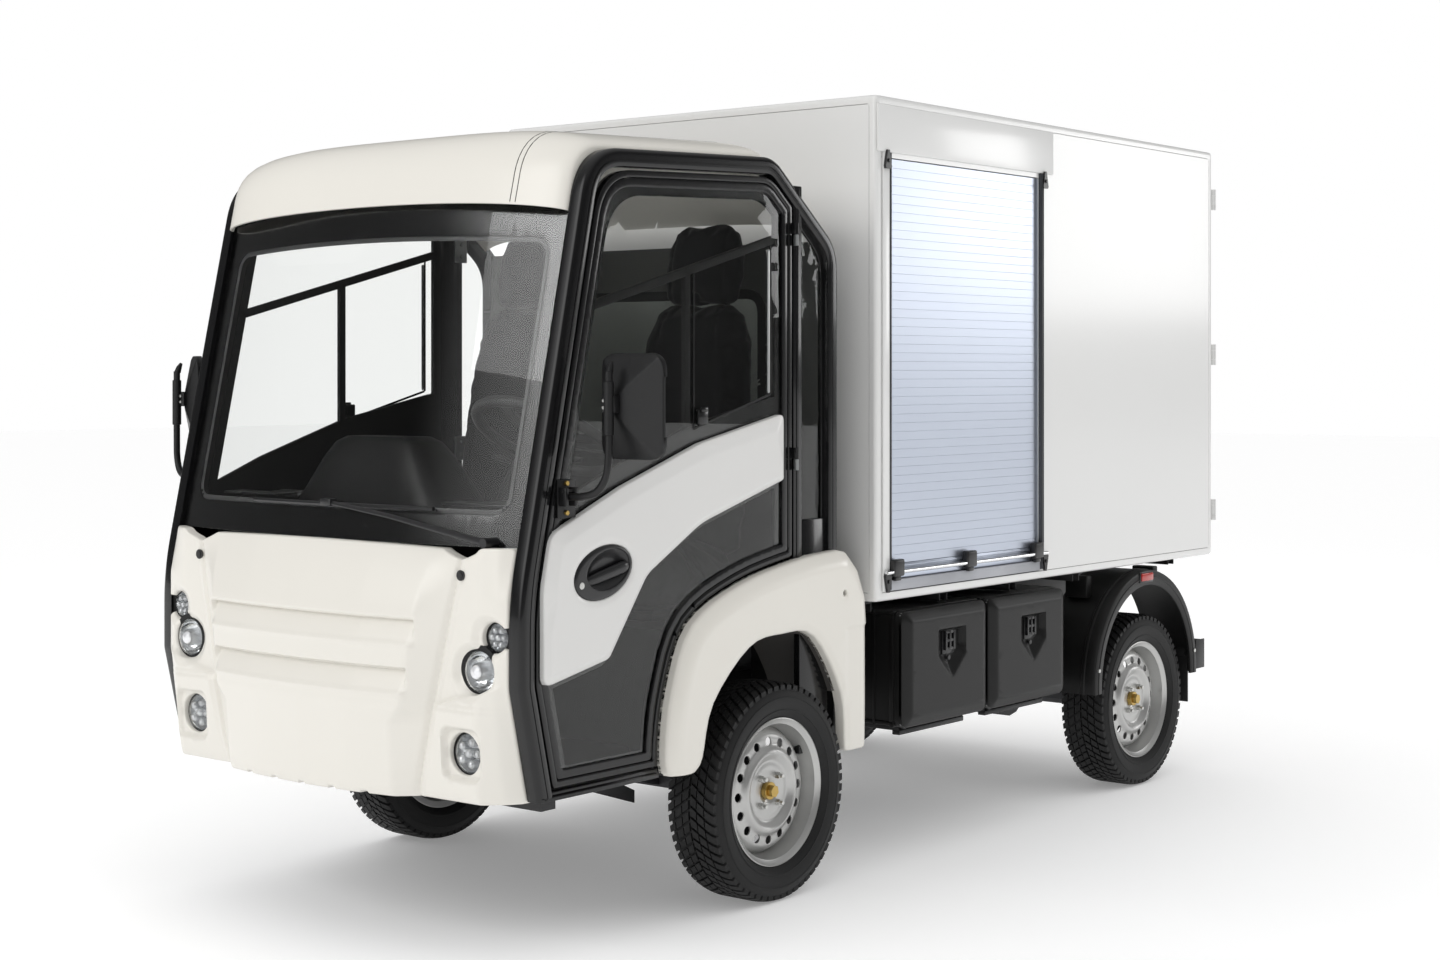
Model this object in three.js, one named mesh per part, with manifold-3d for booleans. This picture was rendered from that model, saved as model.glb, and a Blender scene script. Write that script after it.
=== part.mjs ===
// Electric mini truck: a two-seat cab on side hoops, a ladder chassis and a panelled load box.
// Millimetres, +Z up, the front faces -Y and the vehicle's left is +X.
// Heights are taken from the ground and lengths from the front axle; the last lines centre the whole.
import * as THREE from 'three';
import { mergeVertices } from 'three/addons/utils/BufferGeometryUtils.js';
import Module from 'manifold-3d';

const wasm = await Module();
wasm.setup();

// ---------------------------------------------------------------- driving dimensions

// fits
const gap = 0.3;                 // between pieces that touch
const running = 6;               // between a moving piece and its neighbour
const doorGap = 7;               // round a cab door

// wheels and axles
const wheelbase = 2045;
const tyreRadius = 285;
const tyreWidth = 164;
const rimRadius = 190;           // outside of the rim's lip
const rimWidth = 140;
const hubBore = 22;
const frontWheelX = 617;         // middle of the tyre
const rearWheelX = 590;
const kingpinX = 520;
const kingpinRadius = 22;

// cab
const cabHalf = 660;             // outside of the side hoops
const hoopWidth = 40;
const hoopDepth = 45;
const sillHeight = 21;
const sillBottom = 385;
const hoopFrontY = -936;
const hoopTopZ = 1944;
const hoopRearY = 306;
const pillarSlope = 0.2202;      // lean of the windscreen pillar, length over height
const bPillarY = 104;
const bPillarDepth = 38;
const quarterSillZ = 965;
const footwellZ = 440;
const seatDeckZ = 740;
const floorThick = 18;
const riserY = -385;
const rearShieldY = 338;
const panelThick = 24;
const roofCrown = 62;
const browLift = 22;             // rise of the roof's front edge in the middle
const roofThick = 24;
const glassThick = 6;
const glassBow = 55;             // how far the windscreen bulges forward in the middle

// doors of the cab
const doorThick = 30;
const doorRail = 38;
const doorPanelThick = 16;

// front fenders
const fenderOuterX = 700;
const archTopZ = 696;
const fenderFootZ = 350;

// load box
const boxWidth = 1410;
const boxLength = 2060;
const boxFrontY = 420;
const boxBottomZ = 745;
const boxTopZ = 2145;
const wallThick = 25;
const boxFloorThick = 30;
const boxBaseThick = 18;         // the floor's outer part, which the walls stand on
const shutterY0 = 486;
const shutterY1 = 1300;
const shutterHeader = 170;       // from the shutter's top to the box's top
const shutterThick = 10;
const guideWidth = 31;
const rearDoorThick = 25;
const rearDoorGap = 8;

// chassis
const railX = 300;               // middle of each rail
const railWidth = 60;
const railBottomZ = 420;
const railTopZ = 540;
const railFrontY = -790;
const railRearY = 2400;
const railFrontBottomZ = 352;
const railFrontTopZ = 415;
const bearerBottomZ = 710;
const bearerTopZ = 738;

// side toolboxes
const toolboxY = [590, 1050];
const toolboxLength = 440;
const toolboxBottomZ = 378;
const toolboxTopZ = 704;
const toolboxMouthX = 646;
const toolboxWall = 12;
const lidThick = 42;
const lidBevel = 15;             // depth of the slope round a lid's face

// rear mudguards and beam
const guardRadius = 360;
const guardCentreZ = 360;
const guardInnerX = 500;
const guardOuterX = 692;
const guardThick = 14;
const beamY = 2408;
const beamDepth = 62;
const beamHalf = 680;
const beamBottomZ = 350;
const beamTopZ = 450;

// ---------------------------------------------------------------- finishes

function finish(color, roughness, metalness = 0, opacity = 1) {
  return new THREE.MeshStandardMaterial({ color, roughness, metalness, opacity, transparent: opacity < 1 });
}

const warmWhite = finish(0xe9e5dc, 0.35);
const boxWhite = finish(0xe6e5e0, 0.3);
const glossBlack = finish(0x101011, 0.25);
const blackSteel = finish(0x17181a, 0.5, 0.3);
const blackPlastic = finish(0x1b1b1c, 0.6);
const tyreRubber = finish(0x141414, 0.85);
const silverSteel = finish(0xa9aaa9, 0.35, 0.9);
const castSteel = finish(0x3a3b3d, 0.55, 0.7);
const tintedGlass = finish(0x3b3f3b, 0.08, 0, 0.45);
const clearGlass = finish(0xc9d2cc, 0.05, 0, 0.25);
const seatCloth = finish(0x1d1d1e, 0.9);
const anodised = finish(0xbfc9dc, 0.3, 0.8);
const lampLens = finish(0xd5dadc, 0.1, 0.2);

// ---------------------------------------------------------------- shape helpers

const alongX = new THREE.Matrix4().makeBasis(
  new THREE.Vector3(0, 1, 0), new THREE.Vector3(0, 0, 1), new THREE.Vector3(1, 0, 0));
const alongY = new THREE.Matrix4().makeBasis(
  new THREE.Vector3(1, 0, 0), new THREE.Vector3(0, 0, 1), new THREE.Vector3(0, -1, 0));

function toSolid(geometry) {
  const bare = geometry.clone();
  bare.deleteAttribute('normal');
  bare.deleteAttribute('uv');
  const merged = mergeVertices(bare, 1e-4);
  return new wasm.Manifold(new wasm.Mesh({
    numProp: 3,
    vertProperties: new Float32Array(merged.attributes.position.array),
    triVerts: new Uint32Array(merged.index.array),
  }));
}

function toGeometry(solid) {
  const mesh = solid.getMesh();
  const geometry = new THREE.BufferGeometry();
  geometry.setAttribute('position', new THREE.BufferAttribute(new Float32Array(mesh.vertProperties), 3));
  geometry.setIndex(new THREE.BufferAttribute(new Uint32Array(mesh.triVerts), 1));
  return geometry;
}

function join(...pieces) {
  return toGeometry(pieces.map(toSolid).reduce((whole, piece) => whole.add(piece)));
}

function cut(base, ...tools) {
  return toGeometry(tools.map(toSolid).reduce((whole, tool) => whole.subtract(tool), toSolid(base)));
}

function common(a, b) {
  return toGeometry(toSolid(a).intersect(toSolid(b)));
}

function block([x0, x1], [y0, y1], [z0, z1]) {
  const box = new THREE.BoxGeometry(x1 - x0, y1 - y0, z1 - z0);
  return box.translate((x0 + x1) / 2, (y0 + y1) / 2, (z0 + z1) / 2);
}

// A shape drawn in (y, z) and pushed from x0 to x1.
function prismX(shape, x0, x1, curveSegments = 5) {
  const prism = new THREE.ExtrudeGeometry(shape, { depth: x1 - x0, bevelEnabled: false, curveSegments });
  return prism.applyMatrix4(alongX).translate(x0, 0, 0);
}

// A shape drawn in (x, z) and pushed from y0 to y1.
function prismY(shape, y0, y1, curveSegments = 4) {
  const prism = new THREE.ExtrudeGeometry(shape, { depth: y1 - y0, bevelEnabled: false, curveSegments });
  return prism.applyMatrix4(alongY).translate(0, y1, 0);
}

function rod(radius, from, to, sides = 16) {
  const start = new THREE.Vector3(...from);
  const span = new THREE.Vector3(...to).sub(start);
  const cylinder = new THREE.CylinderGeometry(radius, radius, span.length(), sides);
  cylinder.translate(0, span.length() / 2, 0);
  cylinder.applyQuaternion(new THREE.Quaternion().setFromUnitVectors(
    new THREE.Vector3(0, 1, 0), span.clone().normalize()));
  return cylinder.translate(start.x, start.y, start.z);
}

function mirrored(geometry) {
  const copy = geometry.clone().scale(-1, 1, 1);
  if (!copy.index) copy.setIndex([...Array(copy.attributes.position.count).keys()]);
  const index = copy.index.array;
  for (let i = 0; i < index.length; i += 3) {
    [index[i], index[i + 1]] = [index[i + 1], index[i]];
  }
  return copy;
}

// The outline through corners [a, b, radius], each corner rounded; closed unless told otherwise.
function rounded(corners, closed = true) {
  const outline = closed ? new THREE.Shape() : new THREE.Path();
  const count = corners.length;
  corners.forEach(([a, b, radius = 0], i) => {
    const here = new THREE.Vector2(a, b);
    const before = new THREE.Vector2(...corners[(i + count - 1) % count].slice(0, 2));
    const after = new THREE.Vector2(...corners[(i + 1) % count].slice(0, 2));
    const toBefore = before.sub(here);
    const toAfter = after.sub(here);
    const isEnd = !closed && (i === 0 || i === count - 1);
    const turn = Math.PI - Math.abs(toBefore.angle() - toAfter.angle()) % (2 * Math.PI);
    const reach = Math.min(radius * Math.abs(Math.tan(turn / 2)),
      0.49 * Math.min(toBefore.length(), toAfter.length()));
    const enter = here.clone().addScaledVector(toBefore.normalize(), isEnd ? 0 : reach);
    const leave = here.clone().addScaledVector(toAfter.normalize(), isEnd ? 0 : reach);
    if (i === 0) outline.moveTo(enter.x, enter.y);
    else outline.lineTo(enter.x, enter.y);
    if (radius > 0 && !isEnd) outline.quadraticCurveTo(here.x, here.y, leave.x, leave.y);
  });
  if (closed) outline.closePath();
  return outline;
}

function rectangle([a0, a1], [b0, b1], radius = 0) {
  return rounded([[a0, b0, radius], [a1, b0, radius], [a1, b1, radius], [a0, b1, radius]]);
}

// The same corners with every edge moved inwards, edge i by distances[i] (corners run anticlockwise).
function inset(corners, distances) {
  const count = corners.length;
  const edges = corners.map(([a, b], i) => {
    const [c, d] = corners[(i + 1) % count];
    const along = new THREE.Vector2(c - a, d - b).normalize();
    const inward = new THREE.Vector2(-along.y, along.x);
    const distance = Array.isArray(distances) ? distances[i] : distances;
    return { point: new THREE.Vector2(a, b).addScaledVector(inward, distance), along };
  });
  return corners.map(([, , radius = 0], i) => {
    const one = edges[(i + count - 1) % count];
    const two = edges[i];
    const across = one.along.x * two.along.y - one.along.y * two.along.x;
    const offset = two.point.clone().sub(one.point);
    const reach = (offset.x * two.along.y - offset.y * two.along.x) / across;
    const corner = one.point.clone().addScaledVector(one.along, reach);
    return [corner.x, corner.y, radius];
  });
}

// A line of points moved sideways, to the left of its direction when distance is positive.
function beside(points, distance) {
  return points.map((point, i) => {
    const before = points[Math.max(i - 1, 0)];
    const after = points[Math.min(i + 1, points.length - 1)];
    const along = after.clone().sub(before).normalize();
    return new THREE.Vector2(point.x - along.y * distance, point.y + along.x * distance);
  });
}

// The closed shape between two lines of points.
function between(one, two) {
  return new THREE.Shape([...one, ...two.slice().reverse()]);
}

// A closed shell from two grids of points, rows[i][j], the outer one seen from outside.
function shell(outer, inner) {
  const rows = outer.length;
  const columns = outer[0].length;
  const positions = [...outer.flat(), ...inner.flat()].flatMap((p) => [p.x, p.y, p.z]);
  const index = [];
  const at = (side, i, j) => side * rows * columns + i * columns + j;
  const quad = (a, b, c, d) => index.push(a, b, c, a, c, d);
  for (let i = 0; i < rows - 1; i += 1) {
    for (let j = 0; j < columns - 1; j += 1) {
      quad(at(0, i, j), at(0, i, j + 1), at(0, i + 1, j + 1), at(0, i + 1, j));
      quad(at(1, i, j), at(1, i + 1, j), at(1, i + 1, j + 1), at(1, i, j + 1));
    }
  }
  for (let j = 0; j < columns - 1; j += 1) {
    quad(at(0, 0, j), at(1, 0, j), at(1, 0, j + 1), at(0, 0, j + 1));
    quad(at(0, rows - 1, j + 1), at(1, rows - 1, j + 1), at(1, rows - 1, j), at(0, rows - 1, j));
  }
  for (let i = 0; i < rows - 1; i += 1) {
    quad(at(0, i + 1, 0), at(1, i + 1, 0), at(1, i, 0), at(0, i, 0));
    quad(at(0, i, columns - 1), at(1, i, columns - 1), at(1, i + 1, columns - 1), at(0, i + 1, columns - 1));
  }
  const geometry = new THREE.BufferGeometry();
  geometry.setAttribute('position', new THREE.BufferAttribute(new Float32Array(positions), 3));
  geometry.setIndex(index);
  return geometry;
}

const truck = new THREE.Group();

function add(name, geometry, material, position = [0, 0, 0]) {
  const mesh = new THREE.Mesh(geometry, material);
  mesh.name = name;
  mesh.position.set(...position);
  truck.add(mesh);
  return mesh;
}

function addPair(name, geometry, material) {
  add(`${name}_left`, geometry, material);
  add(`${name}_right`, mirrored(geometry), material);
}

// ---------------------------------------------------------------- outlines shared by the cab's pieces

// Side view of the cab in (y, z), anticlockwise seen with y to the right: sill, rear leg, slope, top, pillar.
const pillarBendZ = 855;
const hoopShoulderZ = 1915;
const shoulderY = hoopFrontY + pillarSlope * (hoopShoulderZ - pillarBendZ);
const cabSide = [
  [hoopFrontY + 61, sillBottom, 0],
  [hoopRearY, sillBottom, 0],
  [hoopRearY, 1718, 130],
  [22, hoopTopZ, 110],
  [shoulderY, hoopShoulderZ, 150],
  [hoopFrontY, pillarBendZ, 800],
  [hoopFrontY, 650, 60],
];

// The cab side moved inwards by d, but by the sill's own height at the foot.
function cabSideInset(d, sill) {
  return inset(cabSide, [sill, d, d, d, d, d, d]);
}

// The front fender's upper edge, from its front foot to its rear top corner.
const fenderEdge = new THREE.SplineCurve([
  [-436, 386], [-447, 450], [-424, 593], [-344, 751], [-143, 838], [109, 885], [276, 898],
].map(([y, z]) => new THREE.Vector2(y, z))).getPoints(16);

// Everything inside the fender's edge moved outwards by d, down to the ground.
function fenderZone(d) {
  const edge = beside(fenderEdge, d);
  const first = edge[0];
  const last = edge[edge.length - 1];
  return new THREE.Shape([
    new THREE.Vector2(last.x + 300, last.y), new THREE.Vector2(last.x + 300, 0),
    new THREE.Vector2(first.x, 0), ...edge]);
}

// The front of the side hoop at a height: the foot, the upright and the leaning pillar.
function hoopFront(z) {
  if (z < 650) return hoopFrontY + 61 * (650 - z) / (650 - sillBottom);
  return hoopFrontY + Math.max(0, z - pillarBendZ) * pillarSlope;
}

// ---------------------------------------------------------------- chassis

const bearerPlaces = [[470, 680], [860, 680], [1250, 680], [1640, 680], [2030, 480], [2376, 680]];
const railSide = rounded([
  [railFrontY, railFrontBottomZ], [-330, railFrontBottomZ], [-250, railBottomZ], [railRearY, railBottomZ],
  [railRearY, railTopZ], [-330, railTopZ], [-370, railFrontTopZ], [railFrontY, railFrontTopZ]]);
const rail = prismX(railSide, railX - railWidth / 2, railX + railWidth / 2);
const subRail = block([railX - railWidth / 2, railX + railWidth / 2],
  [bearerPlaces[0][0] - 30, bearerPlaces[5][0] + 24], [railTopZ + gap, bearerBottomZ + 1]);
const crossMembers = [[-760, railFrontBottomZ, railFrontTopZ], [150, 450, 520], [1640, 450, 520],
  [2340, 450, 520]].map(([y, z0, z1]) => block([-railX, railX], [y - 25, y + 25], [z0, z1]));
const bearers = bearerPlaces.map(([y, reach]) =>
  block([-reach, reach], [y - 22, y + 22], [bearerBottomZ, bearerTopZ]));
const hoopInnerX = cabHalf - hoopWidth;
const outriggerHalf = hoopInnerX - 10;
const frontOutrigger = block([-outriggerHalf, outriggerHalf], [-820, -770], [railFrontBottomZ, sillBottom + 15]);
add('chassis_frame', join(rail, mirrored(rail), ...crossMembers, frontOutrigger), blackSteel);
add('box_subframe', join(subRail, mirrored(subRail), ...bearers), blackSteel);

const batteryHalf = railX - railWidth / 2 - 10;
add('battery_pack', block([-batteryHalf, batteryHalf], [300, 1560], [370, 640]), blackSteel);

const eyeHalf = 42;
const frontBeam = block([-kingpinX, kingpinX], [-26, 26], [tyreRadius - 28, tyreRadius + 28]);
const frontSaddle = block([-railX - 25, railX + 25], [-70, 70], [tyreRadius + 20, railBottomZ - gap]);
const eye = rod(kingpinRadius + 12, [kingpinX, 0, tyreRadius - eyeHalf], [kingpinX, 0, tyreRadius + eyeHalf]);
const armFront = prismX(rounded([[-300, railFrontBottomZ - 22], [-26, tyreRadius - 23],
  [-26, tyreRadius + 15], [-300, railFrontBottomZ]]), railX - 70, railX);
add('front_axle', join(frontBeam, frontSaddle, eye, mirrored(eye), armFront, mirrored(armFront)), castSteel);

const rearHubX = rearWheelX - 95;
const rearTube = rod(42, [-rearHubX, wheelbase, tyreRadius], [rearHubX, wheelbase, tyreRadius], 12);
const driveUnit = rod(115, [-110, wheelbase, tyreRadius + 10], [150, wheelbase, tyreRadius + 10], 16);
const springEndZ = railBottomZ - 32;
const springCurve = [[-420, springEndZ], [-200, tyreRadius + 60], [0, tyreRadius + 40], [200, tyreRadius + 60],
  [340, springEndZ]]
  .map(([y, z]) => new THREE.Vector2(wheelbase + y, z));
const springLine = new THREE.SplineCurve(springCurve).getPoints(8);
const spring = prismX(between(springLine, beside(springLine, 26)), railX - 28, railX + 28);
const seatPad = block([railX - 40, railX + 40], [wheelbase - 60, wheelbase + 60],
  [tyreRadius, tyreRadius + 66]);
const hangers = [wheelbase - 405, wheelbase + 325].map((y) =>
  block([railX - 24, railX + 24], [y - 20, y + 20], [springEndZ + 4, railBottomZ - gap]));
const rearSpindle = rod(hubBore - 1, [rearHubX, wheelbase, tyreRadius],
  [rearWheelX + 30, wheelbase, tyreRadius], 16);
const rearDrum = rod(105, [rearHubX - 45, wheelbase, tyreRadius], [rearHubX + 20, wheelbase, tyreRadius], 16);
const rearSide = join(spring, seatPad, ...hangers, rearSpindle, rearDrum);
add('rear_axle', join(rearTube, driveUnit, rearSide, mirrored(rearSide)), castSteel);

// ---------------------------------------------------------------- wheels

// Half sections turned about the wheel's own axis: [radius, distance outwards along the axle].
// The turn starts half a side round, so that a wheel stands on a flat.
function turned(profile, sides) {
  const points = profile.map(([r, w]) => new THREE.Vector2(r, w));
  return new THREE.LatheGeometry(points, sides, Math.PI / sides).rotateZ(-Math.PI / 2);
}

const wheelSides = 24;
const treadRadius = tyreRadius / Math.cos(Math.PI / wheelSides);
const half = tyreWidth / 2;
const bead = rimRadius - 9;
const wallRadius = rimRadius + 0.44 * (tyreRadius - rimRadius);   // the tyre's widest place
const tyreSection = [
  [bead, -56], [rimRadius + 2, -60], [rimRadius + 10, -72], [wallRadius, -half], [tyreRadius - 16, -half + 12],
  [treadRadius, -half + 24], [treadRadius, half - 24], [tyreRadius - 16, half - 12],
  [wallRadius, half], [rimRadius + 10, 72], [rimRadius + 2, 60], [bead, 56], [bead, -56]];
const lip = rimWidth / 2;
const rimSection = [
  [bead - 8, -lip], [rimRadius, -lip], [bead - gap, -lip + 9],
  [bead - gap, lip - 9], [rimRadius, lip], [bead - 8, lip],
  [bead - 24, lip - 52], [112, lip - 44], [92, lip - 28], [70, lip - 40],
  [hubBore, lip - 40], [hubBore, lip - 62], [84, lip - 52], [112, lip - 58],
  [bead - 24, lip - 72], [bead - 8, -lip]];
const wheelPlaces = {
  front_left: [frontWheelX, 0], front_right: [-frontWheelX, 0],
  rear_left: [rearWheelX, wheelbase], rear_right: [-rearWheelX, wheelbase]};
for (const [place, [x, y]] of Object.entries(wheelPlaces)) {
  const tyre = add(`tyre_${place}`, turned(tyreSection, wheelSides), tyreRubber, [x, y, tyreRadius]);
  const rim = add(`rim_${place}`, turned(rimSection, wheelSides), silverSteel, [x, y, tyreRadius]);
  if (x < 0) {
    tyre.rotation.z = Math.PI;
    rim.rotation.z = Math.PI;
  }
}

// The knuckle grips the axle's eye from above and below, and carries the spindle.
const forkTop = rod(30, [kingpinX, 0, tyreRadius + eyeHalf + 2], [kingpinX, 0, tyreRadius + eyeHalf + 22]);
const forkFoot = rod(30, [kingpinX, 0, tyreRadius - eyeHalf - 22], [kingpinX, 0, tyreRadius - eyeHalf - 2]);
const forkWebX = kingpinX + kingpinRadius + 12 + running;
const forkWeb = block([forkWebX, forkWebX + 18], [-30, 30],
  [tyreRadius - eyeHalf - 22, tyreRadius + eyeHalf + 22]);
const forkLugs = [tyreRadius + eyeHalf + 2, tyreRadius - eyeHalf - 22].map((z) =>
  block([kingpinX, forkWebX + 18], [-24, 24], [z, z + 20]));
const spindle = rod(hubBore - 1, [forkWebX, 0, tyreRadius], [frontWheelX + 30, 0, tyreRadius], 16);
addPair('knuckle', join(forkTop, forkFoot, forkWeb, ...forkLugs, spindle), castSteel);

// ---------------------------------------------------------------- cab structure

const sideRing = cut(
  prismX(rounded(cabSide), hoopInnerX, cabHalf),
  prismX(rounded(cabSideInset(hoopDepth, sillHeight)), hoopInnerX - 10, cabHalf + 10));
const bPillar = common(prismX(rounded(cabSide), hoopInnerX, cabHalf),
  block([0, cabHalf], [bPillarY, bPillarY + bPillarDepth], [sillBottom, hoopTopZ]));
const quarterPanel = block([hoopInnerX + 8, cabHalf - 6], [bPillarY, hoopRearY], [sillBottom, quarterSillZ]);
const archStrip = common(prismX(between(beside(fenderEdge, -2), beside(fenderEdge, -40)), hoopInnerX, cabHalf),
  prismX(rounded(cabSide), hoopInnerX, cabHalf));
const wheelHole = prismX(fenderZone(-40), hoopInnerX - 10, cabHalf + 10);
addPair('side_hoop', join(cut(join(sideRing, bPillar, quarterPanel), wheelHole), archStrip), glossBlack);

// Floor, riser, seat deck and the shields round the front wheels, pushed across the cab.
const bulkheadY = -850;
const bulkheadTopZ = 900;
const floorHalf = hoopInnerX - gap;
const floorSide = rounded([
  [bulkheadY, footwellZ - floorThick], [riserY, footwellZ - floorThick], [riserY, seatDeckZ - floorThick],
  [rearShieldY, seatDeckZ - floorThick], [rearShieldY, fenderFootZ + 30],
  [rearShieldY + 12, fenderFootZ + 30], [rearShieldY + 12, seatDeckZ], [riserY - floorThick, seatDeckZ],
  [riserY - floorThick, footwellZ], [bulkheadY + floorThick, footwellZ],
  [bulkheadY + floorThick, bulkheadTopZ], [bulkheadY, bulkheadTopZ]]);
const railSlot = prismX(railSide, railX - railWidth / 2 - 4, railX + railWidth / 2 + 4);
const railRoom = block([-railX - railWidth / 2 - 4, railX + railWidth / 2 + 4],
  [rearShieldY - 20, rearShieldY + 30], [0, 680]);
add('cab_floor', cut(prismX(floorSide, -floorHalf, floorHalf), railSlot, mirrored(railSlot), railRoom),
  blackPlastic);

const backWallY = 262;
const backWall = prismY(rectangle([-floorHalf, floorHalf], [seatDeckZ + gap, 1735]), backWallY, backWallY + 14);
const backWindowHalf = floorHalf - 189.7;
const backWindow = prismY(rectangle([-backWindowHalf, backWindowHalf], [1180, 1600], 60),
  backWallY - 10, backWallY + 30);
add('cab_back_wall', cut(backWall, backWindow), blackPlastic);

// The windscreen: the pillar line, bulged forward in the middle, up to the roof's front edge.
const roofFrontZ = hoopShoulderZ - 153;
const screenHalf = hoopInnerX - 3;
function browRise(x) {
  return browLift * (1 - (x / hoopInnerX) ** 2);
}

function screenShell(z0, z1, front, back) {
  const across = Array.from({ length: 11 }, (_, j) => screenHalf * (j / 5 - 1));
  const grid = (depth) => [0, 0.25, 0.5, 0.75, 1].map((t) => across.map((x) => {
    const z = z0 + t * (z1 + browRise(x) - z0);
    const bow = glassBow * (1 - (x / screenHalf) ** 2);
    return new THREE.Vector3(x, hoopFront(z) + 10 - bow + depth, z);
  }));
  return shell(grid(front), grid(back));
}

const screenBottomZ = 972;
const screenTopZ = roofFrontZ - 12;
const screenFrameThick = 26;
add('windscreen', screenShell(screenBottomZ, screenTopZ, 0, glassThick), clearGlass);
const screenRim = 57;
const screenHole = prismY(rectangle([screenRim - screenHalf, screenHalf - screenRim],
  [screenBottomZ + 58, screenTopZ - 34], 40), -1100, -500);
add('windscreen_frame', cut(screenShell(screenBottomZ, screenTopZ, glassThick + gap,
  glassThick + screenFrameThick), screenHole), glossBlack);

// The roof follows the hoop's outline and swells between the hoops.
const roofLine = rounded([
  [hoopFront(roofFrontZ), roofFrontZ], [shoulderY, hoopShoulderZ, 150],
  [22, hoopTopZ, 110], [250, 1762]], false).getSpacedPoints(10);
function roofGrid(thickness) {
  return roofLine.map((point, i) => {
    const before = roofLine[Math.max(i - 1, 0)];
    const after = roofLine[Math.min(i + 1, roofLine.length - 1)];
    const along = after.clone().sub(before).normalize();
    return Array.from({ length: 11 }, (_, j) => {
      const x = (hoopInnerX - 2) * Math.sin(Math.PI / 2 * (j / 5 - 1));
      const swell = roofCrown * Math.sqrt(Math.max(0, 1 - (x / (hoopInnerX - 2)) ** 4)) - thickness;
      const lift = i === 0 ? browRise(x) : 0;
      return new THREE.Vector3(x, point.x - along.y * swell, point.y + along.x * swell + lift);
    });
  });
}

add('roof_cap', shell(roofGrid(0), roofGrid(roofThick)), warmWhite);

// The front panel: a crowned middle, a slanting step each side and two wings that meet the hoops.
const panelBottomZ = 376;
const panelTopZ = 968;
// each lamp's distance in from the cab's side, height and radius
const lampPlaces = [[131, 686, 47], [84, 767, 33], [167, 493, 46]].map(([d, z, r]) => [cabHalf - d, z, r]);
function frontColumns(z) {
  const middle = cabHalf - 363 + (z - 374) * 0.164;
  const wing = cabHalf - 311 + (z - 374) * 0.235;
  const crown = 1024 + 17 * Math.sin(Math.PI * (z - 330) / 700) - 58 * Math.max(0, (z - 800) / 170) ** 1.3;
  const edge = -hoopFront(z) + 4;
  const flank = Math.max(edge + 22, 958 - 60 * Math.max(0, (450 - z) / 80));
  return [[0, crown], [middle * 0.6, crown - 9], [middle, crown - 25], [wing, flank + 8],
    [hoopInnerX - 60, flank], [hoopInnerX - 20, edge + 10], [hoopInnerX - 2, edge]];
}

function frontGrid(depth) {
  const heights = [panelBottomZ, 450, 560, 680, 790, 880, panelTopZ];
  return heights.map((z) => {
    const right = frontColumns(z).map(([x, y]) => new THREE.Vector3(x, -y + depth, z));
    const left = right.slice(1).reverse().map((p) => new THREE.Vector3(-p.x, p.y, p.z));
    return [...left, ...right];
  });
}

const lampHoles = lampPlaces.flatMap(([x, z, r]) => [-1, 1].map((side) =>
  rod(r + 4, [side * x, -1100, z], [side * x, -800, z], 16)));
add('front_panel', cut(shell(frontGrid(0), frontGrid(panelThick)), ...lampHoles), warmWhite);

const lampPlateY = -893;
const lampPlate = prismY(rounded([[-174, 450], [-80, 450], [-40, 560], [-40, 806], [-174, 806]]),
  lampPlateY, lampPlateY + 8).translate(hoopInnerX, 0, 0);
const lampBodies = lampPlaces.map(([x, z, r]) => rod(r, [x, -948, z], [x, lampPlateY + 4, z], 16));
addPair('lamp_cluster', join(lampPlate, ...lampBodies), lampLens);

// ---------------------------------------------------------------- fenders

const archInside = new THREE.SplineCurve([
  [-372, 340], [-322, 418], [-278, 549], [-132, 674], [6, archTopZ], [148, 677], [269, 515], [294, 340],
].map(([y, z]) => new THREE.Vector2(y, z))).getPoints(20);
const fenderShape = new THREE.Shape([
  ...fenderEdge,
  ...[[310, 892], [366, 840], [401, 765], [406, 690], [402, 480], [384, fenderFootZ]]
    .map(([y, z]) => new THREE.Vector2(y, z)),
  new THREE.Vector2(294, fenderFootZ),
  ...archInside.slice(2, -1).reverse(),
  new THREE.Vector2(-352, sillBottom)]);
const fenderBody = new THREE.ExtrudeGeometry(fenderShape, {
  depth: 40, bevelThickness: 12, bevelSize: 12, bevelOffset: -12, bevelSegments: 2, curveSegments: 6});
fenderBody.applyMatrix4(alongX).translate(fenderOuterX - 52, 0, 0);
addPair('fender', common(fenderBody, block([cabHalf + gap, 800], [-600, 600], [200, 1000])), warmWhite);

// ---------------------------------------------------------------- cab doors

function doorZone(clear, rail) {
  const d = hoopDepth + clear + rail;
  const x0 = hoopInnerX - 200;
  const x1 = cabHalf + 200;
  const inside = common(prismX(rounded(cabSideInset(d, sillHeight + clear + rail)), x0, x1),
    block([x0, x1], [-2000, bPillarY - clear - rail], [0, 3000]));
  return cut(inside, prismX(fenderZone(clear + rail + 1), x0 - 10, x1 + 10));
}

const doorInnerX = cabHalf - doorThick;
const doorSlab = block([doorInnerX, cabHalf - 2], [-2000, 2000], [0, 3000]);
const doorOpening = doorZone(doorGap, doorRail);
const waistRail = prismX(rounded([[-760, 1519], [60, 1739], [60, 1713], [-760, 1493]].reverse()),
  doorInnerX + 2, doorInnerX + 16);
const slidePost = block([doorInnerX + 2, doorInnerX + 16], [-338, -312], [1150, 1625]);
const beltRail = prismX(rounded([[-830, 1080], [-600, 1115], [-330, 1205], [80, 1300], [80, 1240],
  [-330, 1140], [-600, 1050], [-830, 1020]].reverse()), doorInnerX + 2, doorInnerX + 16);
const doorBars = [waistRail, slidePost, beltRail].map((bar) => common(bar, doorZone(doorGap, doorRail - 6)));
const doorFrame = join(cut(common(doorZone(doorGap, 0), doorSlab), doorOpening), ...doorBars);
addPair('door_frame', doorFrame, glossBlack);
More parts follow.
